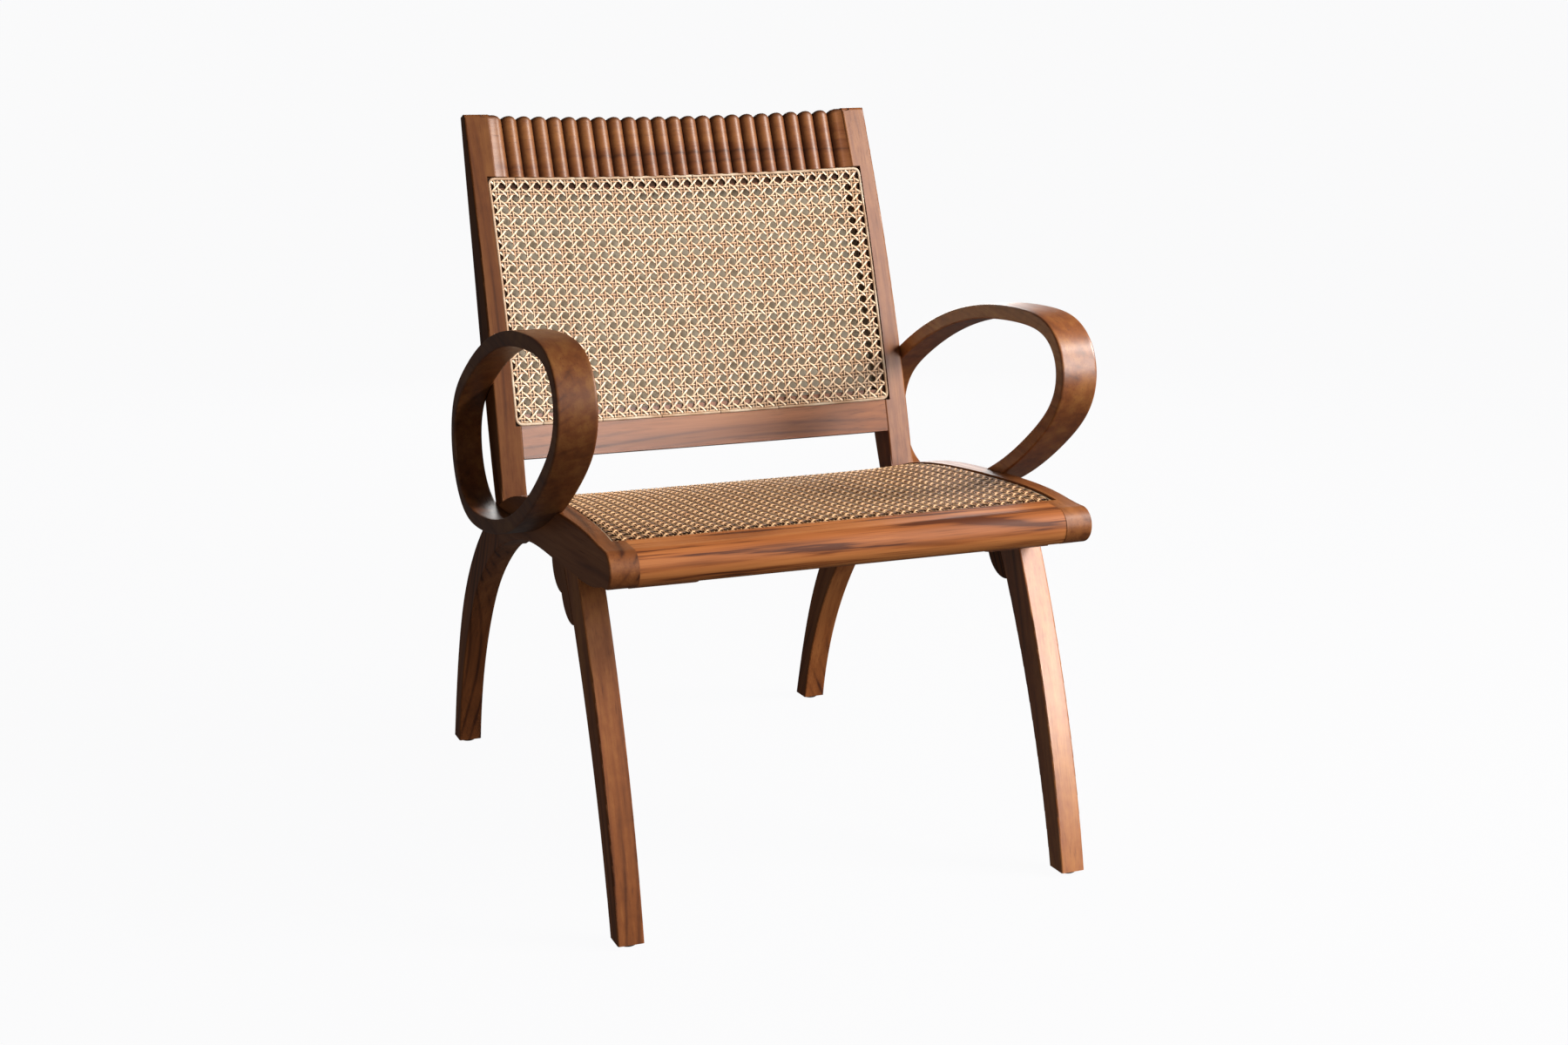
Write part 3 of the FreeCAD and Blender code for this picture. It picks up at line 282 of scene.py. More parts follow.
class Finish:
    """A material with one principled shader, whose sockets take numbers, colours or fields."""

    def __init__(self, name, **sockets):
        self.material = bpy.data.materials.new(name)
        self.material.use_nodes = True
        self.tree = self.material.node_tree
        self.shader = self.tree.nodes["Principled BSDF"]
        self.set(**sockets)

    def set(self, **sockets):
        for name, value in sockets.items():
            self._feed(self.shader.inputs[name.replace("_", " ").title().replace("Ior", "IOR")], value)

    def _feed(self, socket, value):
        if isinstance(value, Field):
            self.tree.links.new(value.socket, socket)
        elif isinstance(value, (tuple, list)) and len(value) == 3 and len(socket.default_value) == 4:
            socket.default_value = (*value, 1.0)
        else:
            socket.default_value = value

    def node(self, kind, settings=None, inputs=None, output=0):
        """Any node: its settings first, then the values or links of its sockets."""
        made = self.tree.nodes.new(kind)
        for name, value in (settings or {}).items():
            if name == "stops":
                ramp = made.color_ramp
                while len(ramp.elements) < len(value):
                    ramp.elements.new(1.0)
                for element, (place, colour) in zip(ramp.elements, value):
                    element.position, element.color = place, (*colour, 1.0)
            else:
                setattr(made, name, value)
        for name, value in (inputs or {}).items():
            self._feed(made.inputs[name], value)
        return Field(self, made.outputs[output])

    def place(self, turn=(0, 0, 0), shift=(0, 0, 0)):
        """The place on the object, turned and shifted."""
        where = self.node("ShaderNodeTexCoord", output="Object")
        return self.node("ShaderNodeMapping", inputs={"Vector": where, "Rotation": turn, "Location": shift})

    def noise(self, where, scale, detail=2.0, rough=0.5):
        """Noise over the place, with one scale or a scale for each of its three ways."""
        scale = scale if isinstance(scale, tuple) else (scale,) * 3
        spread = self.node("ShaderNodeVectorMath", {"operation": "MULTIPLY"}, {0: where, 1: scale})
        return self.node("ShaderNodeTexNoise", inputs={
            "Vector": spread, "Scale": 1.0, "Detail": detail, "Roughness": rough})

    def painted(self, mark):
        """The number that the mesh's points carry under that name."""
        return self.node("ShaderNodeAttribute", {"attribute_name": mark}, output="Fac")

    def mix(self, share, first, second):
        return self.node("ShaderNodeMix", {"data_type": "RGBA"}, {0: share, 6: first, 7: second}, output=2)

    def bump(self, height, distance, strength):
        return self.node("ShaderNodeBump", inputs={
            "Height": height, "Distance": distance, "Strength": strength})


# Finishes

def tinted(colour, *shares):
    """A colour whose channels are multiplied by one share, or by a share each."""
    shares = shares * 3 if len(shares) == 1 else shares
    return tuple(channel * share for channel, share in zip(colour, shares))


def teak(name, settings, grain, seed, tone=1.0, mottle=0.0, gloss=0.3, figured=1.0, stain=0.0):
    """Oiled teak with its grain along a direction.

    Mottle breaks the long lines into a curly figure, and the points marked for shade are darkened, as painted
    shade."""
    finish = Finish(name, coat_weight=0.25 * gloss, coat_roughness=0.27,
                    specular_ior_level=0.10 + 0.4 * gloss)
    chance = random.Random(seed)
    turn = Vector(grain).normalized().rotation_difference(Vector((1, 0, 0))).to_euler()
    where = finish.place(tuple(turn), (chance.uniform(-1, 1), 0.0, 0.0))
    bend = finish.noise(where, (0.9, 4.5, 4.5), 1.0)
    across, through = (
        finish.node("ShaderNodeSeparateXYZ", inputs={"Vector": where}, output=axis) + chance.uniform(*reach)
        for axis, reach in (("Y", (0.01, 0.05)), ("Z", (0.03, 0.07))))
    rings = ((across * across + through * through) ** 0.5 + bend * 0.16) * (2 * math.pi / settings.ring_width)
    late = (rings.sine() * 0.5 + 0.5) ** 5.0
    cloud = finish.noise(where, (2.2, 30.0, 30.0), 3.0)
    streak = finish.noise(where, (5.0, 130.0, 130.0), 3.0, 0.55)
    fibre = finish.noise(where, (14.0, 650.0, 650.0))
    curl = finish.noise(where, (60.0, 90.0, 90.0), 4.0, 0.6)
    lines = (late * ((0.22 - 0.16 * mottle) * figured) * cloud.between(0.42, 0.62)
             + streak.between(0.53, 0.68) * (0.46 * max(0.0, figured - 1.0)))
    broad = (cloud * 0.62 + streak * 0.30 + fibre * 0.14 - 0.53) * (0.6 + 0.4 * figured) + 0.53
    figure = broad * (1.0 - 0.45 * mottle) + curl * (0.48 * mottle) + lines
    dark, middle, light = (
        tinted(colour, tone) for colour in (settings.dark, settings.middle, settings.light))
    light = tinted(light, 1.0, 1.0 + 0.16 * mottle, 1.0)
    body = finish.node("ShaderNodeValToRGB", {"stops": [
        (0.34, light), (0.56, middle), (0.84, dark)]}, {"Fac": figure})
    pores = fibre.between(0.60, 0.72)
    colour = finish.mix(pores * 0.35, body, dark)
    # Painted shade: the marked points turn to a darker brown, where light falls less.
    if stain:
        shade_mask = finish.painted("stain")
        colour = finish.mix(shade_mask * stain, colour, tinted(dark, 0.5))
    rubbed = settings.roughness + 0.04 - 0.14 * gloss
    finish.set(base_color=colour, roughness=streak * 0.14 + rubbed + pores * 0.08)
    finish.set(normal=finish.bump(fibre * 0.5 + streak * 0.5, 0.0002, 0.3))
    return finish.material


def cane(name, settings, shade, shadow, reach=(0.38, 0.90)):
    """The skin of the cane, each strand with its own tone and dusty specks, and painted shade where it runs
    under others.
    """
    finish = Finish(name, coat_weight=0.08, coat_roughness=0.3)
    tone = finish.painted("strand")
    where = finish.place()
    patch = finish.noise(where, 40.0, 3.0)
    speck = finish.noise(where, 420.0)
    share = (tone * 0.8 + patch * 0.9 - 0.47).between(0.0, 1.0)
    straw, tan = (tinted(colour, *shade) for colour in (settings.straw, settings.tan))
    skin = finish.mix(share, straw, tan)
    depth = finish.painted("depth")
    # Painted shade: where a strand lies deep in the weave, and at its lower corners, it turns dark brown.
    # Real dusty specks are mixed in as well.
    specks_and_painted_shade = speck.between(0.58, 0.70) * 0.5 + depth.between(*reach) * shadow
    colour = finish.mix(specks_and_painted_shade, skin, tinted(tan, 0.25))
    finish.set(base_color=colour, roughness=0.38 + speck * 0.2)
    finish.set(normal=finish.bump(speck, 0.0002, 0.4))
    return finish.material


def bead_cane(name, settings, shade):
    """The round cane of the beads, dark where two lengths of it meet."""
    finish = Finish(name, coat_weight=0.05)
    joint = finish.painted("strand")
    where = finish.place()
    patch = finish.noise(where, 30.0, 3.0)
    fine = finish.noise(where, 500.0)
    straw, tan = (tinted(colour, shade) for colour in (settings.straw, settings.tan))
    skin = finish.mix(patch.between(0.28, 0.62), straw, tan)
    round_cane = finish.mix(fine.between(0.55, 0.75) * 0.4, skin, tan)
    finish.set(base_color=finish.mix(joint, round_cane, (0.05, 0.025, 0.012)), roughness=0.45 + fine * 0.2)
    finish.set(normal=finish.bump(fine, 0.0002, 0.3))
    return finish.material


def fibre_board(name, colour, patchy=0.75):
    """The rough face of a thin fibre board."""
    finish = Finish(name, specular_ior_level=0.2)
    where = finish.place()
    rough = finish.noise(where, 900.0, 1.0)
    patch = finish.noise(where, 45.0, 3.0)
    dim = tinted(colour, 0.62, 0.54, 0.46)
    shade = finish.mix(patch.between(0.38, 0.68) * patchy + rough * 0.2, tuple(colour), dim)
    finish.set(base_color=shade, roughness=0.85 + rough * 0.1)
    finish.set(normal=finish.bump(rough, 0.0003, 0.5))
    return finish.material


def brushed_steel(name):
    finish = Finish(name, metallic=1.0)
    where = finish.place()
    lines = finish.noise(where, (260.0, 260.0, 2600.0))
    brushed = finish.mix(lines, (0.52, 0.49, 0.46), (0.70, 0.67, 0.63))
    finish.set(base_color=brushed, roughness=lines * 0.2 + 0.24)
    return finish.material


def moulded_plastic(name):
    finish = Finish(name)
    where = finish.place()
    grain = finish.noise(where, 1400.0)
    black = finish.mix(grain, (0.012, 0.012, 0.013), (0.03, 0.03, 0.032))
    finish.set(base_color=black, roughness=grain * 0.2 + 0.4)
    finish.set(normal=finish.bump(grain, 0.0002, 0.3))
    return finish.material


# Meshes

def add_piece(name, points, faces, material, slot, *nodes, crease=40):
    """A mesh piece that rides on the chair and stands for its nodes, smooth up to a crease in degrees."""
    mesh = bpy.data.meshes.new(name)
    mesh.from_pydata([tuple(point) for point in points], [], faces)
    mesh.validate()
    mesh.update()
    mesh.polygons.foreach_set("use_smooth", [True] * len(mesh.polygons))
    mesh.set_sharp_from_angle(angle=math.radians(crease))
    piece = bpy.data.objects.new(name, mesh)
    bpy.context.scene.collection.objects.link(piece)
    mesh.materials.append(material)
    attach(piece, "root")
    if nodes:
        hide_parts(*nodes)
    return piece


def paint(piece, mark, values):
    """Gives each point of a piece's mesh a number for its finish to read."""
    layer = piece.data.attributes.new(mark, "FLOAT", "POINT")
    layer.data.foreach_set("value", np.ravel(values).astype(np.float32))


def ring_faces(rings, around, closed, first=0):
    """Quads from each ring of points to the next, and from the last to the first of a closed tube."""
    low = np.arange(rings if closed else rings - 1)[:, None] * around + np.arange(around)
    low_next = low - np.arange(around) + (np.arange(around) + 1) % around
    high, high_next = ((part + around) % (rings * around) for part in (low, low_next))
    return (np.stack([low, low_next, high_next, high], axis=-1).reshape(-1, 4) + first).tolist()


def end_faces(rings, around, first=0):
    """The two faces that shut the ends of an open tube."""
    last = first + (rings - 1) * around
    return [list(range(first + around - 1, first - 1, -1)), list(range(last, last + around))]


def node_tree(node):
    """A node of the frame, ready to be met by rays."""
    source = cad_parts[node].data
    return BVHTree.FromPolygons([v.co for v in source.vertices], [p.vertices for p in source.polygons])


class Bundle:
    """Rods and strips swept along lines and gathered in one mesh."""

    def __init__(self):
        self.points, self.faces, self.marks, self.count = [], [], {"strand": [], "depth": []}, 0

    def sweep(self, line, out, section, closed=False, scale=1.0, strand=0.0, depth=0.0):
        """A section carried along a line, its second way pointing out of the surface."""
        ahead = np.roll(line, -1, axis=0) - np.roll(line, 1, axis=0)
        if not closed:
            ahead[0], ahead[-1] = line[1] - line[0], line[-1] - line[-2]
        side = np.cross(ahead, out)
        side /= np.linalg.norm(side, axis=1, keepdims=True)
        scale = np.broadcast_to(scale, len(line))[:, None, None]
        ring = (line[:, None, :] + side[:, None, :] * section[None, :, 0:1] * scale
                + out[:, None, :] * section[None, :, 1:2] * scale)
        rings, around = len(line), len(section)
        self.points.append(ring.reshape(-1, 3))
        self.faces += ring_faces(rings, around, closed, self.count)
        if not closed:
            self.faces += end_faces(rings, around, self.count)
        self.count += rings * around
        for name, value in (("strand", strand), ("depth", depth)):
            self.marks[name].append(np.broadcast_to(value, (rings, around)).ravel())

    def piece(self, name, material, slot, *nodes):
        """Makes one piece of all that was swept, with its marks for the finish."""
        made = add_piece(name, np.concatenate(self.points), self.faces, material, slot, *nodes, crease=60)
        for mark, values in self.marks.items():
            paint(made, mark, np.concatenate(values))


# Crest

def crest_columns():
    """Places across the crest, their offsets from their reed's middle, and which are on the end blocks."""
    row = REED_PITCH * REED_COUNT / 2
    reach = math.asin(REED_PITCH / 2 / REED_RADIUS)
    steps = 14
    columns = []
    for number in range(REED_COUNT):
        middle = -row + REED_PITCH * (number + 0.5)
        for step in range(steps):
            offset = REED_RADIUS * math.sin(reach * (2 * step / steps - 1))
            columns.append((middle + offset, offset, False))
    columns.append((row, REED_PITCH / 2, False))
    blocks = []
    for step in range(1, steps // 2 + 1):
        offset = REED_RADIUS * math.sin(reach * (1 - 2 * step / steps))
        blocks.append((row + REED_PITCH / 2 - offset, offset, True))
    width = BOW_HALF + BLOCK_OVERLAP - blocks[-1][0]
    blocks += [(blocks[-1][0] + width * share, 0.0, True) for share in (0.45, 1.0)]
    columns = [(-place, *rest) for place, *rest in reversed(blocks)] + columns + blocks
    return [np.array(values)[:, None] for values in zip(*columns)]


def crest_profile(offset, block, settings, rays):
    """For each place across, the outline of the crest's section from its foot over the top and down the back.

    From a point in the heart of the section, halvings find how far each ray runs inside the wood."""
    count = len(offset)
    flank = REED_RADIUS - np.sqrt(REED_RADIUS ** 2 - offset ** 2)
    top = CREST_HEIGHT - settings.dome_rise * (np.abs(offset) * 2 / REED_PITCH) ** 2.2
    front_round = np.where(block & (offset == 0), CREST_ROUND, settings.dome_round)
    rear_round = 0.002
    heart = (0.013, CREST_HEIGHT - 0.014)
    turns = np.linspace(math.pi, 0, rays)
    near, far = np.zeros((count, rays)), np.full((count, rays), 0.05)

    def rounded(depth, up, sign, face, radius):
        """Whether points near a face's top edge lie inside its round."""
        inward, below = sign * (depth - face) - radius, top - radius - up
        return (inward > 0) | (below > 0) | (inward ** 2 + below ** 2 < radius ** 2)

    for _ in range(26):
        way = (near + far) / 2
        depth = heart[0] + way * np.cos(turns)
        up = heart[1] + way * np.sin(turns)
        inside = ((depth > flank) & (depth < CREST_THICKNESS) & (up < top)
                  & rounded(depth, up, 1, flank, front_round)
                  & rounded(depth, up, -1, CREST_THICKNESS, rear_round))
        near, far = np.where(inside, way, near), np.where(inside, far, way)
    depth = heart[0] + near * np.cos(turns)
    up = heart[1] + near * np.sin(turns)
    gap = 0.0003
    foot_depth = (CREST_THICKNESS, RECESS_DEPTH, RECESS_DEPTH)
    foot_up = (-RABBET_LAP, -RABBET_LAP, gap, gap, heart[1] * 0.5)
    depth = np.hstack([np.tile(foot_depth, (count, 1)), flank, flank, depth])
    up = np.hstack([np.tile(foot_up, (count, 1)), up])
    return depth, up


class CHAIR_OT_cut_crest(bpy.types.Operator):
    """Cuts the crest rail: reeds with domed tops between two end blocks"""
    bl_idname = "planters_chair.cut_crest"
    bl_label = "Cut the crest"

    def execute(self, context):
        across, offset, block = crest_columns()
        depth, up = crest_profile(offset, block, context.scene.chair_crest, rays=34)
        points = crest_points(across, up, depth)
        # The crest's two ends are cut to the inner faces of the stiles.
        for column, node in ((0, "back_stile_left"), (-1, "back_stile_right")):
            stile = node_tree(node)
            for point in points[column]:
                side = math.copysign(1.0, point[0])
                meets = stile.ray_cast(Vector((side * 0.15, point[1], point[2])), Vector((side, 0, 0)))[0]
                if meets:
                    point[0] = meets.x
        faces = ring_faces(*points.shape[:2], closed=False) + end_faces(*points.shape[:2])
        wood = teak("teak_crest", context.scene.chair_teak, (1, 0, 0), 31,
                    tone=0.62, mottle=0.25, gloss=0.42, figured=0.8, stain=0.85)
        crest = add_piece("reeded_crest", points.reshape(-1, 3), faces, wood, "teak", "crest_rail", crease=38)
        # Painted shade: the reeds' tops and the floors of the grooves are darkened.
        cap = np.clip((up - CREST_HEIGHT + PAINTED_SHADE_REACH) / PAINTED_SHADE_FADE, 0.0, 1.0)
        groove = np.where(depth < REED_DEPTH + MM, (np.abs(offset) * 2 / REED_PITCH) ** 6.0, 0.0)
        paint(crest, "stain", np.maximum(cap, groove))
        return {"FINISHED"}


# Arms

def arm_curve(step, ease):
    """The middle line of an arm's loop seen from the side, and its outward ways.

    It is four arcs that touch, with the jumps between their bends eased over a length."""
    front, rear = np.array(ARM_FRONT), np.array(ARM_REAR)
    half = ARM_THICKNESS / 2
    span = rear - front
    length = np.hypot(*span)
    ahead = span / length
    left = np.array([-ahead[1], ahead[0]])
    centres, radii = [], [ARM_FRONT_RADIUS - half, ARM_REAR_RADIUS - half]
    for radius, side in ((ARM_UPPER_RADIUS - half, -1), (ARM_LOWER_RADIUS - half, 1)):
        near, far = radius - radii[0], radius - radii[1]
        along = (near ** 2 - far ** 2 + length ** 2) / (2 * length)
        centres.append((front + along * ahead + side * math.sqrt(near ** 2 - along ** 2) * left, radius))

    def heading(start, end):
        return math.atan2(end[1] - start[1], end[0] - start[0])

    (upper, upper_radius), (lower, lower_radius) = centres
    runs = [
        (front, radii[0], heading(lower, front), heading(upper, front)),
        (upper, upper_radius, heading(upper, front), heading(upper, rear)),
        (rear, radii[1], heading(upper, rear), heading(lower, rear)),
        (lower, lower_radius, heading(lower, rear), heading(lower, front)),
    ]
    points = []
    for centre, radius, start, end in runs:
        turn = (start - end) % (2 * math.pi)
        count = max(2, round(radius * turn / step))
        for angle in start - turn * np.arange(count) / count:
            points.append(centre + radius * np.array([math.cos(angle), math.sin(angle)]))
    points = np.array(points)
    reach = int(3 * ease / step)
    offsets = np.arange(-reach, reach + 1)
    weights = np.exp(-0.5 * (offsets * step / ease) ** 2)
    weights /= weights.sum()

    def eased(values):
        return sum(weight * np.roll(values, -offset, axis=0) for offset, weight in zip(offsets, weights))

    # Easing draws each bend inwards by half its curvature times the length squared, which is put back.
    bend = (np.roll(points, 1, axis=0) - 2 * points + np.roll(points, -1, axis=0)) / step ** 2
    smooth = eased(points) - eased(eased(bend)) * ease ** 2 / 2
    along = np.roll(smooth, -1, axis=0) - np.roll(smooth, 1, axis=0)
    along /= np.linalg.norm(along, axis=1, keepdims=True)
    return smooth, np.stack([-along[:, 1], along[:, 0]], axis=1)


class CHAIR_OT_bend_arms(bpy.types.Operator):
    """Bends the two arm loops as one even band each"""
    bl_idname = "planters_chair.bend_arms"
    bl_label = "Bend the arms"

    def execute(self, context):
        line, out = arm_curve(step=0.003, ease=ARM_EASE)
        low, high = line[:, 0].min() - ARM_THICKNESS / 2, line[:, 0].max() + ARM_THICKNESS / 2
        half, radius = ARM_THICKNESS / 2, ARM_ROUND
        turns = np.linspace(0, math.pi / 2, 4)
        # A narrow flat strip beside each rounded edge keeps its shading crisp.
        rim = radius + 0.0015
        ins = np.concatenate([radius * (1 - np.cos(turns)), [rim]])
        downs = np.concatenate([radius * (1 - np.sin(turns)), [0.0]])
        count = len(line)
        # The right arm is lighter and glossier than the left: painted light on the right and painted shade on
        # the left.
        for side, sign, tone, gloss, seed in (("right", 1, 0.80, 0.9, 41), ("left", -1, 0.52, 0.4, 42)):
            share = (line[:, 0:1] - low) / (high - low)
            width = ARM_FRONT_WIDTH + (ARM_REAR_WIDTH - ARM_FRONT_WIDTH) * share
            near = np.broadcast_to(ins, (count, len(ins)))
            face = np.broadcast_to(0.0, (count, 2))
            across = np.hstack([near, width - ins[::-1], face + width, width - ins, near[:, ::-1], face])
            through = np.concatenate([half - downs, half - downs[::-1], (half - rim, rim - half),
                                      downs - half, downs[::-1] - half, (rim - half, half - rim)])
            flat = line[:, None, :] + out[:, None, :] * through[None, :, None]
            points = np.stack([
                sign * (ARM_INNER + across), CHAIR_FRONT + flat[..., 0], SOLE + flat[..., 1]], axis=-1)
            faces = ring_faces(*points.shape[:2], closed=True)
            if sign < 0:
                faces = [face[::-1] for face in faces]
            wood = teak(f"teak_bent_arm_{side}", context.scene.chair_teak, (0, 1, 0.15), seed,
                        tone, mottle=0.85, gloss=gloss)
            add_piece(f"bent_arm_{side}", points.reshape(-1, 3), faces, wood, "teak", f"arm_loop_{side}")
        return {"FINISHED"}


# Cane

def clipped(start, way, outline):
    """The stretch of a line inside a convex outline, as two distances along it, or None."""
    low, high = -10.0, 10.0
    for (x0, y0), (x1, y1) in zip(outline, outline[1:] + outline[:1]):
        normal = (y0 - y1, x1 - x0)
        rate = way[0] * normal[0] + way[1] * normal[1]
        gap = (start[0] - x0) * normal[0] + (start[1] - y0) * normal[1]
        if abs(rate) < 1e-12:
            if gap < 0:
                return None
        elif rate > 0:
            low = max(low, -gap / rate)
        else:
            high = min(high, -gap / rate)
    return (low, high) if high - low > SHORTEST_STRAND else None


def stations(low, high, pitch, shares):
    """Places along a strand: the same shares of every mesh, and the two ends."""
    first, last = math.floor(low / pitch) - 1, math.ceil(high / pitch) + 1
    places = np.sort(np.concatenate([(cell + np.array(shares)) * pitch for cell in range(first, last + 1)]))
    inner = places[(places > low + STATION_GAP) & (places < high - STATION_GAP)]
    return np.concatenate([[low], inner, [high]])


def pair_wave(places, pitch, gap):
    """How a strand of a pair rises and falls at the two strands that it crosses in each mesh."""
    share = (places / pitch + 0.5) % 1.0 - 0.5
    edge = gap / 2 / pitch
    near = np.sin(np.pi / 2 * share / edge)
    away = np.sign(share) * (0.5 + 0.5 * np.cos(np.pi * (np.abs(share) - edge) / (0.5 - edge)))
    return np.where(np.abs(share) <= edge, near, away)


# How much painted shade darkens the three lower corners of a strand's section, compared with its two upper
# ones
STRAND_EDGE_SHADE = np.array([0.35, 0.7, 0.35, 0.0, 0.0])


def strand_section(width, thickness):
    """A strand's section, flat on its skin and blunt below."""
    half, rise = width / 2, thickness / 2
    return np.array([(-half, -0.4 * rise), (0.0, -rise), (half, -0.4 * rise),
                     (0.62 * half, 0.85 * rise), (-0.62 * half, 0.85 * rise)])


def weave(surface, outline, settings, seed, origin=(0.0, 0.0), girth=(1.0, 1.0)):
    """Six strands to the mesh: two pairs that cross, with a thin dark strip behind each as painted shade
    between its two strands, and two slanting strands.
    """
    bundle, chance = Bundle(), random.Random(seed)
    pitch, gap = settings.pitch, settings.pair_gap
    outline = [(u - origin[0], (v - origin[1]) / settings.stretch) for u, v in outline]
    width, thickness = settings.width * girth[0], settings.thickness * girth[1]
    pair_section = strand_section(width * PAIR_WIDTH, thickness)
    shade_strip_section = strand_section(gap - width * PAIR_WIDTH / 2, thickness * 0.25)
    slant_section = strand_section(width, thickness)
    edge = gap / 2 / pitch
    pair_shares = (-edge, 0.0, edge, (edge + 0.5) / 2, 0.5, -(edge + 0.5) / 2)
    pair_rise, slant_rise = thickness * 0.50, thickness * 0.88
    spans = [(min(p[axis] for p in outline), max(p[axis] for p in outline)) for axis in (0, 1)]

    def lay(start, way, section, tone, mesh, shares, rise):
        span = clipped(start, way, outline)
        if span is None:
            return
        places = stations(span[0], span[1], mesh, shares)
        # Each strand wanders slowly, by up to a third of a millimetre.
        waver = [chance.uniform(-1, 1) for _ in range(4)]
        drift = 0.00022 * np.sin(places * (35 + 12 * waver[0]) + 3 * waver[1]) + 0.00012 * waver[2]
        u = start[0] + way[0] * places - way[1] * drift
        v = start[1] + way[1] * places + way[0] * drift
        height = rise(places, u)
        u, v = u + origin[0], v * settings.stretch + origin[1]
        line, out = raised(surface, u, v, height)
        bundle.sweep(line, out, section, strand=tone + 0.5 * chance.random(),
                     depth=np.clip(0.5 - height / slant_rise / 2, 0.0, 1.0)[:, None] + STRAND_EDGE_SHADE)

    for axis in (0, 1):
        low, high = spans[1 - axis]
        way = (1.0, 0.0) if axis == 0 else (0.0, 1.0)
        for number in range(math.floor(low / pitch), math.ceil(high / pitch) + 1):
            for side in (-1, 1):
                place = number * pitch + side * gap / 2
                start = (0.0, place) if axis == 0 else (place, 0.0)
                turn = -side if axis == 0 else side
                lay(start, way, pair_section, tone=0.62, mesh=pitch, shares=pair_shares,
                    rise=lambda places, u, turn=turn: pair_rise * turn * pair_wave(places, pitch, gap))
            middle = (0.0, number * pitch) if axis == 0 else (number * pitch, 0.0)
            # A dark strip behind each pair: painted shade in the gap between its two strands.
            lay(middle, way, shade_strip_section, tone=1.0, mesh=pitch, shares=(0.0, 0.5),
                rise=lambda places, u: np.full(len(places), -slant_rise))
    diagonal = math.sqrt(0.5)
    eighths = tuple(number / 8 for number in range(8))
    reach = math.ceil((spans[0][1] - spans[0][0] + spans[1][1] - spans[1][0]) / pitch)
    for slope in (1, -1):
        for number in range(-reach * 2, reach * 2):
            offset = (number + 0.5) * pitch
            # Strands that rise to the right are a little lighter than those that fall: painted light for the
            # light from the right.
            lay((offset, 0.0), (diagonal, slope * diagonal), slant_section,
                tone=-0.05 if slope > 0 else -0.15, mesh=pitch / diagonal, shares=eighths,
                rise=lambda places, u, slope=slope: slant_rise * slope * np.cos(2 * np.pi * u / pitch))
    return bundle


def raised(surface, u, v, lift):
    """A line on a surface, and the ways out of the surface along it."""
    line = surface(u, v, lift)
    out = surface(u, v, lift + MM) - line
    return line, out / np.linalg.norm(out, axis=1, keepdims=True)


def back_surface(lift_depth):
    """The back's cane as a surface: (along the bow, up, towards the sitter)."""
    def surface(across, up, lift):
        return back_points(across, up, lift_depth - lift)
    return surface


def seat_surface():
    """The seat's cane as a surface: (across the chair, back from the front, up).

    A grid of rays finds the height of the frame's panel, and its edges are carried on level."""
    tree = node_tree("cane_seat")
    xs = np.linspace(-SEAT_FRONT_HALF, SEAT_FRONT_HALF, 90)
    ys = np.linspace(SEAT_FRONT, SEAT_REAR, 76)
    heights = np.zeros((len(xs), len(ys)))
    for i, x in enumerate(xs):
        for j, y in enumerate(ys):
            inside_y = min(max(y, SEAT_FRONT + SPLINE_WIDTH + MM), SEAT_REAR - SPLINE_WIDTH - MM)
            half = seat_half(inside_y) - SPLINE_WIDTH - MM
            inside_x = min(max(x, -half), half)
            hit = tree.ray_cast(Vector((inside_x, CHAIR_FRONT + inside_y, 1.0)), Vector((0, 0, -1)))[0]
            if hit is None:
                raise RuntimeError("the seat's cane has a hole in it")
            heights[i, j] = hit.z

    def height_at(x, y):
        i = np.clip((x - xs[0]) / (xs[1] - xs[0]), 0, len(xs) - 1.001)
        j = np.clip((y - ys[0]) / (ys[1] - ys[0]), 0, len(ys) - 1.001)
        i0, j0 = i.astype(int), j.astype(int)
        fi, fj = i - i0, j - j0
        return ((1 - fi) * (1 - fj) * heights[i0, j0] + fi * (1 - fj) * heights[i0 + 1, j0]
                + (1 - fi) * fj * heights[i0, j0 + 1] + fi * fj * heights[i0 + 1, j0 + 1])

    def surface(across, setback, lift):
        across, setback = np.asarray(across, float), np.asarray(setback, float)
        top = height_at(across, setback)
        slope_x = (height_at(across + MM, setback) - height_at(across - MM, setback)) / (2 * MM)
        slope_y = (height_at(across, setback + MM) - height_at(across, setback - MM)) / (2 * MM)
        normal = np.stack([-slope_x, -slope_y, np.ones_like(top)], axis=-1)
        normal /= np.linalg.norm(normal, axis=-1, keepdims=True)
        base = np.stack([across, CHAIR_FRONT + setback, top - CANE_THICKNESS / 2], axis=-1)
        return base + normal * np.broadcast_to(lift, top.shape)[..., None]

    return surface


def seat_half(setback):
    """Half the width of the seat's cane at a distance behind the seat's front."""
    share = (setback - SEAT_FRONT) / (SEAT_REAR - SEAT_FRONT)
    return SEAT_FRONT_HALF + (SEAT_REAR_HALF - SEAT_FRONT_HALF) * share


def rectangle(half, low, high):
    """The outline of a panel as wide on both sides of the middle."""
    return [(-half, low), (half, low), (half, high), (-half, high)]


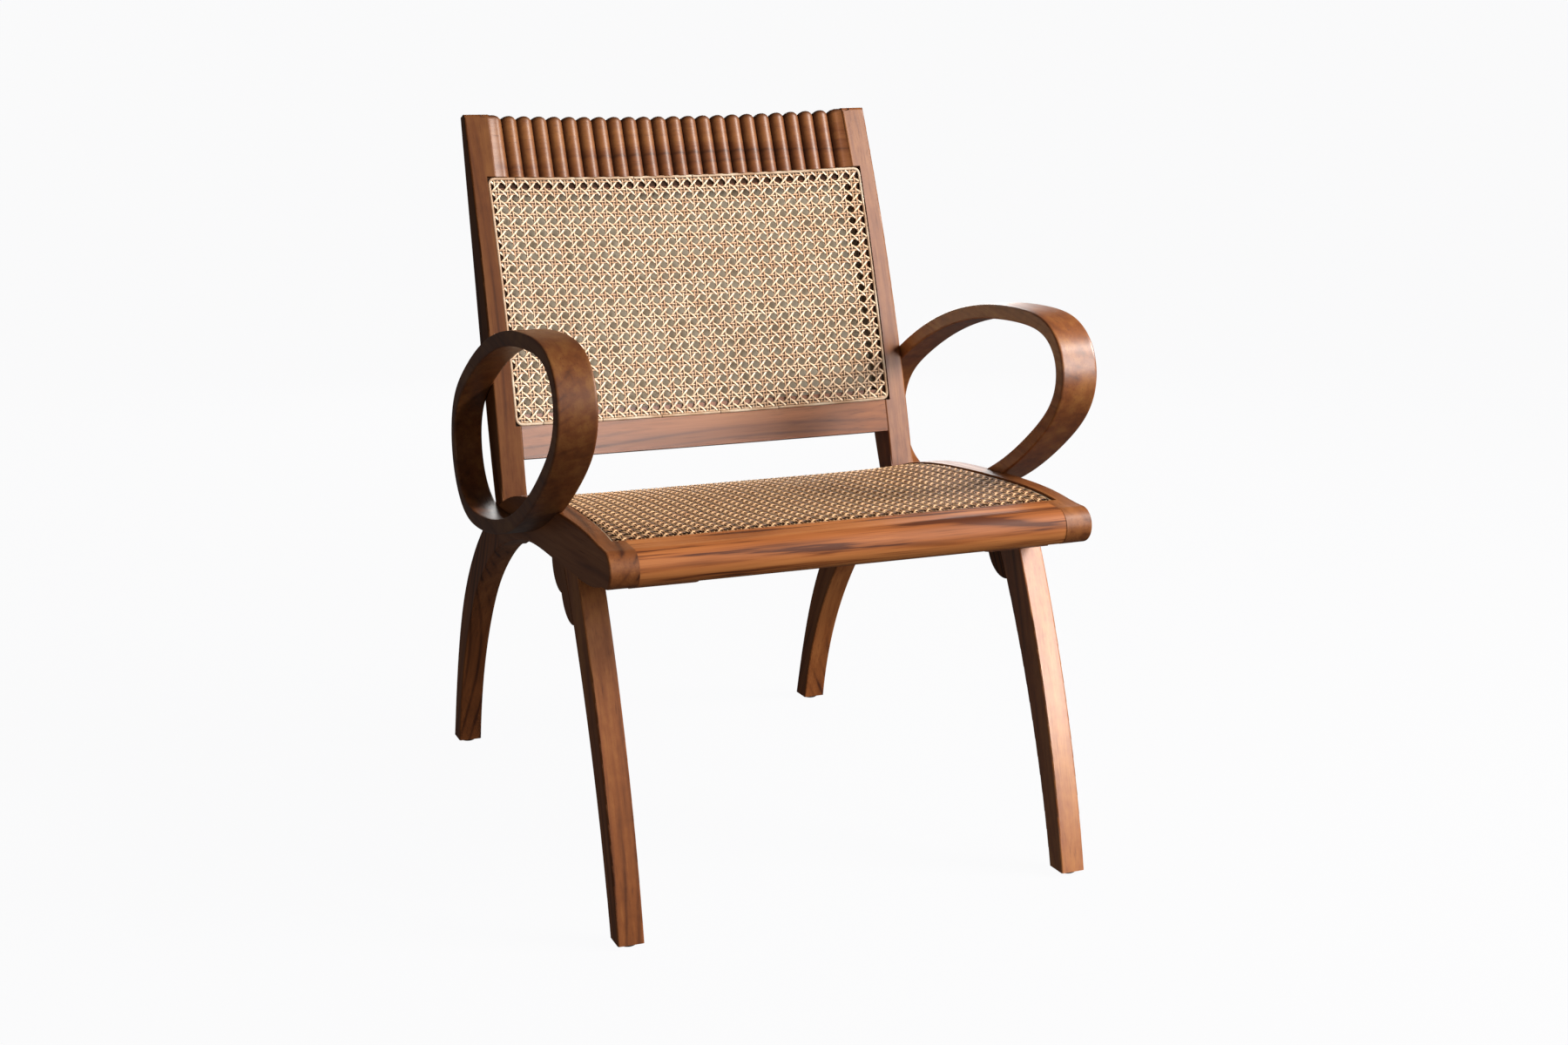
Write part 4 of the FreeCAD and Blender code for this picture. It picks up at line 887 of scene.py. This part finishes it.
def thin_board(name, surface, half_at, low, high, thickness, material, slot):
    """A thin board that follows a surface, between two heights and as wide as half_at tells."""
    across, up = np.linspace(-1.0, 1.0, 61), np.linspace(low, high, 49)
    u, v = (part.ravel() for part in np.meshgrid(across, up, indexing="ij"))
    u = u * half_at(v)
    front, rear = surface(u, v, 0.0), surface(u, v, -thickness)
    columns, rows, count = len(across), len(up), len(u)
    corner = (np.arange(columns - 1)[:, None] * rows + np.arange(rows - 1)).reshape(-1, 1)
    faces = np.hstack([corner + (0, rows, rows + 1, 1), count + corner + (0, 1, rows + 1, rows)])
    faces = faces.reshape(-1, 4).tolist()
    # The edge runs all round, and joins the front face to the rear one.
    border = ([c * rows for c in range(columns)] + [(columns - 1) * rows + r for r in range(1, rows)]
              + [c * rows + rows - 1 for c in range(columns - 2, -1, -1)] + list(range(rows - 2, 0, -1)))
    faces += [(b, a, count + a, count + b) for a, b in zip(border, border[1:] + border[:1])]
    return add_piece(name, np.concatenate([front, rear]), faces, material, slot)


def rabbet_shade_band():
    """A dark strip in the back's rabbets, behind the edge of the cane: painted shade where the rabbets lie in
    shadow.
    """
    surface = back_surface(RECESS_DEPTH - 0.00005)
    clear = 0.0005
    low, high, half = LOWER_TOP + clear, CREST_RISE - clear, BACK_PANEL_HALF - clear
    inner = (LOWER_TOP + 0.007, CREST_RISE - RABBET_LAP, BOW_HALF - 0.0002)
    shares = np.linspace(-1, 1, 41)[:-1]
    even = np.ones(len(shares))
    outlines = []
    for foot, head, side in ((low, high, half), inner):
        up = foot + (head - foot) * (shares + 1) / 2
        outlines.append((side * np.concatenate([shares, even, -shares, -even]),
                         np.concatenate([foot * even, up, head * even, head + foot - up])))
    thick = 0.00015
    rings = [surface(*outlines[ring], lift) for ring, lift in ((0, thick), (1, thick), (1, 0.0), (0, 0.0))]
    faces = ring_faces(4, len(rings[0]), closed=True)
    add_piece("cane_shade_band_back", np.concatenate(rings), faces,
              fibre_board("band_painted_shade", (0.042, 0.020, 0.011)), "cane", crease=30)


class CHAIR_OT_weave_back(bpy.types.Operator):
    """Weaves the back's cane in front of its backing"""
    bl_idname = "planters_chair.weave_back"
    bl_label = "Weave the back"

    def execute(self, context):
        settings = context.scene.chair_cane
        half = BACK_PANEL_HALF - SPLINE_WIDTH
        low, high = LOWER_TOP + SPLINE_WIDTH, CREST_RISE - SPLINE_WIDTH
        middle = CANE_RECESS + CANE_THICKNESS / 2
        skin = cane("cane_back_skin", settings, (1.16, 1.09, 1.02), 0.95)
        front = weave(back_surface(middle), rectangle(half, low, high), settings, settings.seed,
                      origin=BACK_WEAVE_ORIGIN)
        front.piece("woven_cane_back", skin, "cane", "cane_back")
        board = thin_board(
            "cane_backing_back", back_surface(settings.backing_depth), lambda up: BACKING_HALF,
            LOWER_TOP + RABBET_LAP - MM, CREST_RISE - RABBET_LAP + MM, thickness=0.0004,
            material=fibre_board("board_back", settings.backing), slot="cane")
        board.data.materials.append(fibre_board("board_back_rear", (0.17, 0.085, 0.04), patchy=0.25))
        # The board's rear faces take the second material.
        for face in board.data.polygons:
            face.material_index = int(face.normal.y > 0.5)
        # The dark strip in the rabbets is painted shade.
        rabbet_shade_band()
        return {"FINISHED"}


class CHAIR_OT_weave_seat(bpy.types.Operator):
    """Weaves the seat's cane"""
    bl_idname = "planters_chair.weave_seat"
    bl_label = "Weave the seat"

    def execute(self, context):
        settings = context.scene.chair_cane
        edge = SPLINE_WIDTH
        front, rear = SEAT_FRONT + edge, SEAT_REAR - edge
        outline = [(-seat_half(front) + edge, front), (seat_half(front) - edge, front),
                   (seat_half(rear) - edge, rear), (-seat_half(rear) + edge, rear)]
        surface = seat_surface()
        woven = weave(surface, outline, settings, settings.seed + 1, girth=(0.80, 1.3))
        skin = cane("cane_seat_skin", settings, (0.76, 0.57, 0.40), 1.0, reach=(0.25, 0.72))
        woven.piece("woven_cane_seat", skin, "cane", "cane_seat")
        # The near-black board under the seat's cane is painted shade: it stands for the shade under the seat,
        # seen through the weave.
        thin_board(
            "cane_shade_board_seat", lambda across, back, lift: surface(across, back, lift - 0.0024),
            lambda back: seat_half(back) - edge, front, rear, thickness=0.0002,
            material=fibre_board("painted_shade_board_seat", settings.seat_shade_board), slot="cane")
        return {"FINISHED"}


def rounded_ring(outline, radius, step):
    """Points around an outline with its corners rounded, close enough to follow a bowed surface."""
    points = []
    count = len(outline)
    for number in range(count):
        before, here, after = (Vector(outline[(number + turn) % count]) for turn in (-1, 0, 1))
        start, end = here + (before - here).normalized() * radius, here + (after - here).normalized() * radius
        for share in np.linspace(0, 1, 7):
            points.append((1 - share) ** 2 * start + 2 * share * (1 - share) * here + share ** 2 * end)
        last = after + (here - after).normalized() * radius
        pieces = max(2, round((last - end).length / step))
        points.extend(end.lerp(last, part / pieces) for part in range(1, pieces))
    return np.array([tuple(point) for point in points])


def jointed(ring, length):
    """The ring with points close about each joint, and which of its points are joints.

    Only the runs straight across the chair have joints."""
    points, joints = [], []
    for here, after in zip(ring, np.roll(ring, -1, axis=0)):
        points.append(here)
        joints.append(0.0)
        run = after - here
        if abs(run[0]) > 0.001 and abs(run[1]) < 1e-9:
            for number in range(-3, 4):
                share = (BEAD_JOINT + number * length - here[0]) / run[0]
                if 0.1 < share <= 1.1:
                    for offset, joint in ((-0.0006, 0.0), (-0.0003, 1.0), (0.0003, 1.0), (0.0006, 0.0)):
                        points.append(here + run * (share - 0.05 + offset / abs(run[0])))
                        joints.append(joint)
    return np.array(points), np.array(joints)


def bead_section(width, height):
    """An oval section for a bead."""
    turns = np.linspace(0, 2 * math.pi, 12, endpoint=False)
    return np.stack([np.cos(turns) * width / 2, np.sin(turns) * height / 2], axis=-1)


class CHAIR_OT_lay_beads(bpy.types.Operator):
    """Lays the round cane beads that hold the woven panels in their grooves"""
    bl_idname = "planters_chair.lay_beads"
    bl_label = "Lay the beads"

    def execute(self, context):
        settings = context.scene.chair_cane
        inset = SPLINE_WIDTH / 2
        back = rectangle(BACK_PANEL_HALF - inset, LOWER_TOP + inset, CREST_RISE - inset)
        seat = [(-SEAT_FRONT_HALF + inset, SEAT_FRONT + inset), (SEAT_FRONT_HALF - inset, SEAT_FRONT + inset),
                (SEAT_REAR_HALF - inset, SEAT_REAR - inset), (-SEAT_REAR_HALF + inset, SEAT_REAR - inset)]
        # side, surface, outline, lift from the surface, shade of the cane, length between joints
        for side, surface, outline, lift, shade, length in (
                ("back", back_surface(CANE_RECESS + 0.0012), back, 0.0, 0.68, BEAD_LENGTH),
                ("seat", seat_surface(), seat, -0.0006, 0.4, SEAT_BEAD_LENGTH)):
            # The seat's bead is darker than the back's: painted shade where it lies low beside the rails.
            ring, joints = jointed(rounded_ring(outline, radius=0.009, step=0.006), length)
            line, out = raised(surface, ring[:, 0], ring[:, 1], np.full(len(ring), lift))
            bundle = Bundle()
            bundle.sweep(line, out, bead_section(BEAD_WIDTH, BEAD_HEIGHT), closed=True,
                         strand=joints[:, None], scale=1.0 - 0.2 * joints)
            skin = bead_cane(f"bead_cane_{side}", settings, shade)
            bundle.piece(f"{side}_bead", skin, "spline", f"{side}_cane_spline")
        return {"FINISHED"}


# Frame

PIECE_GRAIN = {
    # node: seed, grain direction, tones on the right and left, mottle, gloss on the right and left. The two
    # sides' tones and glosses are painted light and shade, set for how the light falls on each side.
    "side_rail": (1, (0, 1, -0.05), (0.66, 0.70), 0.0, (0.3, 0.3)),
    "front_leg": (3, (0, 0.30, 0.95), (1.12, 0.85), 0.5, (1.15, 0.2)),
    "front_leg_bracket": (5, (0, 0.5, 0.8), (0.6, 0.6), 0.0, (0.2, 0.2)),
    "rear_leg": (7, (0, -0.48, 0.87), (0.85, 0.85), 0.0, (0.2, 0.2)),
    "back_stile": (11, (0, 0.32, 0.95), (0.68, 0.48), 0.35, (0.50, 0.1)),
    "front_corner_plate": (13, (1, 0, 0), (0.7, 0.7), 0.0, (0.2, 0.2)),
    "rear_corner_block": (15, (1, 0, 0), (0.7, 0.7), 0.0, (0.2, 0.2)),
}
CROSS_GRAIN = {
    # node: seed, tone, gloss, strength of the figure
    "lower_back_rail": (17, 0.85, 0.7, 0.7),
    "front_rail": (18, 1.15, 0.10, 1.9),
    "rear_seat_rail": (19, 0.8, 0.2, 1.0),
}


def dress(node, material):
    """Gives a node of the frame its finish."""
    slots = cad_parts[node].material_slots
    if not slots:
        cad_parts[node].data.materials.append(material)
    for slot in slots:
        slot.material = material


class CHAIR_OT_oil_frame(bpy.types.Operator):
    """Gives each wooden piece teak with the grain along it"""
    bl_idname = "planters_chair.oil_frame"
    bl_label = "Oil the frame"

    def execute(self, context):
        settings = context.scene.chair_teak
        for stem, (seed, grain, tones, mottle, glosses) in PIECE_GRAIN.items():
            for number, side in enumerate(("right", "left")):
                dress(f"{stem}_{side}", teak(f"teak_{stem}_{side}", settings, grain, seed + number,
                                             tones[number], mottle, glosses[number]))
        for node, (seed, tone, gloss, figured) in CROSS_GRAIN.items():
            dress(node, teak(f"teak_{node}", settings, (1, 0, 0), seed, tone, 0.0, gloss, figured))
        return {"FINISHED"}


class CHAIR_OT_finish_fixings(bpy.types.Operator):
    """Finishes the screws, dowels, pins and glides"""
    bl_idname = "planters_chair.finish_fixings"
    bl_label = "Finish the fixings"

    def execute(self, context):
        steel, plastic = brushed_steel("screw_steel"), moulded_plastic("glide_plastic")
        peg = teak("peg_wood", context.scene.chair_teak, (1, 0, 0), 97, 0.7)
        for node in ("arm_screws", "plate_screws"):
            dress(node, steel)
        for node in ("rail_dowels", "back_joint_pins"):
            dress(node, peg)
        for end in ("front", "rear"):
            for side in ("right", "left"):
                dress(f"glide_{end}_{side}", plastic)
        return {"FINISHED"}


# Stage

CAMERA_PLACE = (-0.9242, -2.38927, 0.9492)
CAMERA_TURN = (math.radians(90 - 13.135), 0.0, math.radians(-22.43))


def floor_bowl():
    """A round floor that curves up into a wall far from the chair."""
    rings = [(1.0, 0.0), (3.0, 0.0), (6.0, 0.0)]
    rings += [(6.0 + 2.0 * math.sin(turn), 2.0 - 2.0 * math.cos(turn))
              for turn in np.linspace(0.2, math.pi / 2, 8)]
    rings.append((8.0, 6.0))
    sides = 64
    turns = [2 * math.pi * side / sides for side in range(sides)]
    points = [(0.0, 0.0, 0.0)]
    points += [(radius * math.cos(turn), radius * math.sin(turn), rise)
               for radius, rise in rings for turn in turns]
    faces = [(0, 1 + side, 1 + (side + 1) % sides) for side in range(sides)]
    faces += [face[::-1] for face in ring_faces(len(rings), sides, closed=False, first=1)]
    return points, faces


def panel_light(name, place, target, size, power, colour):
    """A soft rectangular light that points at a target and isn't seen itself."""
    lamp = bpy.data.lights.new(name, "AREA")
    lamp.shape, lamp.size, lamp.size_y = "RECTANGLE", size[0], size[1]
    lamp.energy, lamp.color = power, colour
    light = bpy.data.objects.new(name, lamp)
    light.location = place
    light.visible_camera = False
    bpy.context.scene.collection.objects.link(light)
    light.rotation_euler = (Vector(target) - light.location).to_track_quat("-Z", "Y").to_euler()


class CHAIR_OT_set_stage(bpy.types.Operator):
    """Sets the floor, the lights and the camera"""
    bl_idname = "planters_chair.set_stage"
    bl_label = "Set the stage"

    def execute(self, context):
        settings, scene = context.scene.chair_stage, context.scene
        points, faces = floor_bowl()
        mesh = bpy.data.meshes.new("studio_floor")
        mesh.from_pydata(points, [], faces)
        mesh.update()
        floor = bpy.data.objects.new("studio_floor", mesh)
        scene.collection.objects.link(floor)
        paper = Finish("studio_paper", roughness=0.9, specular_ior_level=0.0)
        grain = paper.noise(paper.place(), 40.0)
        paper.set(base_color=paper.mix(grain, (0.01, 0.01, 0.01), (0.012, 0.012, 0.012)))
        glow = paper.mix(grain, tuple(settings.floor), tinted(settings.floor, 0.997))
        paper.set(emission_color=glow, emission_strength=1.0)
        mesh.materials.append(paper.material)
        mesh.polygons.foreach_set("use_smooth", [True] * len(mesh.polygons))
        floor.visible_diffuse = False
        floor.visible_glossy = False

        # name, place, height of the spot it points at, size, power, colour
        for name, place, height, size, power, colour in (
                ("key_light", (2.31, -1.35, 2.25), 0.45, (1.1, 1.1), settings.key, (1.0, 0.96, 0.92)),
                ("front_light", (1.45, -2.52, 1.30), 0.45, (0.6, 1.45), settings.front, (1.0, 0.98, 0.96)),
                ("low_light", (1.5, -2.3, 0.25), 0.5, (1.4, 0.4), settings.low, (1.0, 0.96, 0.92)),
                ("fill_light", (-2.4, -1.9, 0.6), 0.3, (1.6, 0.8), settings.fill, (1.0, 0.96, 0.93)),
                ("rear_light", (1.0, 2.9, 1.1), 0.5, (1.6, 1.2), settings.rear, (1.0, 0.98, 0.96))):
            panel_light(name, place, (0, 0, height), size, power, colour)
        world = scene.world or bpy.data.worlds.new("studio")
        scene.world = world
        world.use_nodes = True
        sky = world.node_tree.nodes["Background"]
        sky.inputs["Color"].default_value = (1.0, 1.0, 1.0, 1.0)
        sky.inputs["Strength"].default_value = settings.sky

        lens = bpy.data.cameras.new("camera")
        lens.sensor_fit, lens.sensor_width, lens.lens = "HORIZONTAL", 36.0, settings.lens
        lens.clip_start, lens.clip_end = 0.05, 60.0
        camera = bpy.data.objects.new("camera", lens)
        camera.location, camera.rotation_euler = CAMERA_PLACE, CAMERA_TURN
        scene.collection.objects.link(camera)
        scene.camera = camera
        scene.view_settings.view_transform = "Standard"
        return {"FINISHED"}


class CHAIR_PT_panel(bpy.types.Panel):
    """The chair's steps"""
    bl_idname = "CHAIR_PT_panel"
    bl_label = "Planters chair"
    bl_space_type = "VIEW_3D"
    bl_region_type = "UI"
    bl_category = "Chair"

    def draw(self, context):
        for step in STEPS:
            self.layout.operator(step.bl_idname)


SETTINGS = {
    "chair_teak": TeakSettings,
    "chair_cane": CaneSettings,
    "chair_crest": CrestSettings,
    "chair_stage": StageSettings,
}
STEPS = (
    CHAIR_OT_oil_frame, CHAIR_OT_cut_crest, CHAIR_OT_bend_arms, CHAIR_OT_weave_back, CHAIR_OT_weave_seat,
    CHAIR_OT_lay_beads, CHAIR_OT_finish_fixings, CHAIR_OT_set_stage,
)


def register():
    for kind in (*SETTINGS.values(), *STEPS, CHAIR_PT_panel):
        bpy.utils.register_class(kind)
    for name, kind in SETTINGS.items():
        setattr(bpy.types.Scene, name, PointerProperty(type=kind))


def unregister():
    for name in SETTINGS:
        delattr(bpy.types.Scene, name)
    for kind in reversed((*SETTINGS.values(), *STEPS, CHAIR_PT_panel)):
        bpy.utils.unregister_class(kind)


def main():
    register()
    for step in STEPS:
        group, name = step.bl_idname.split(".")
        getattr(getattr(bpy.ops, group), name)()


if __name__ == "__main__":
    main()
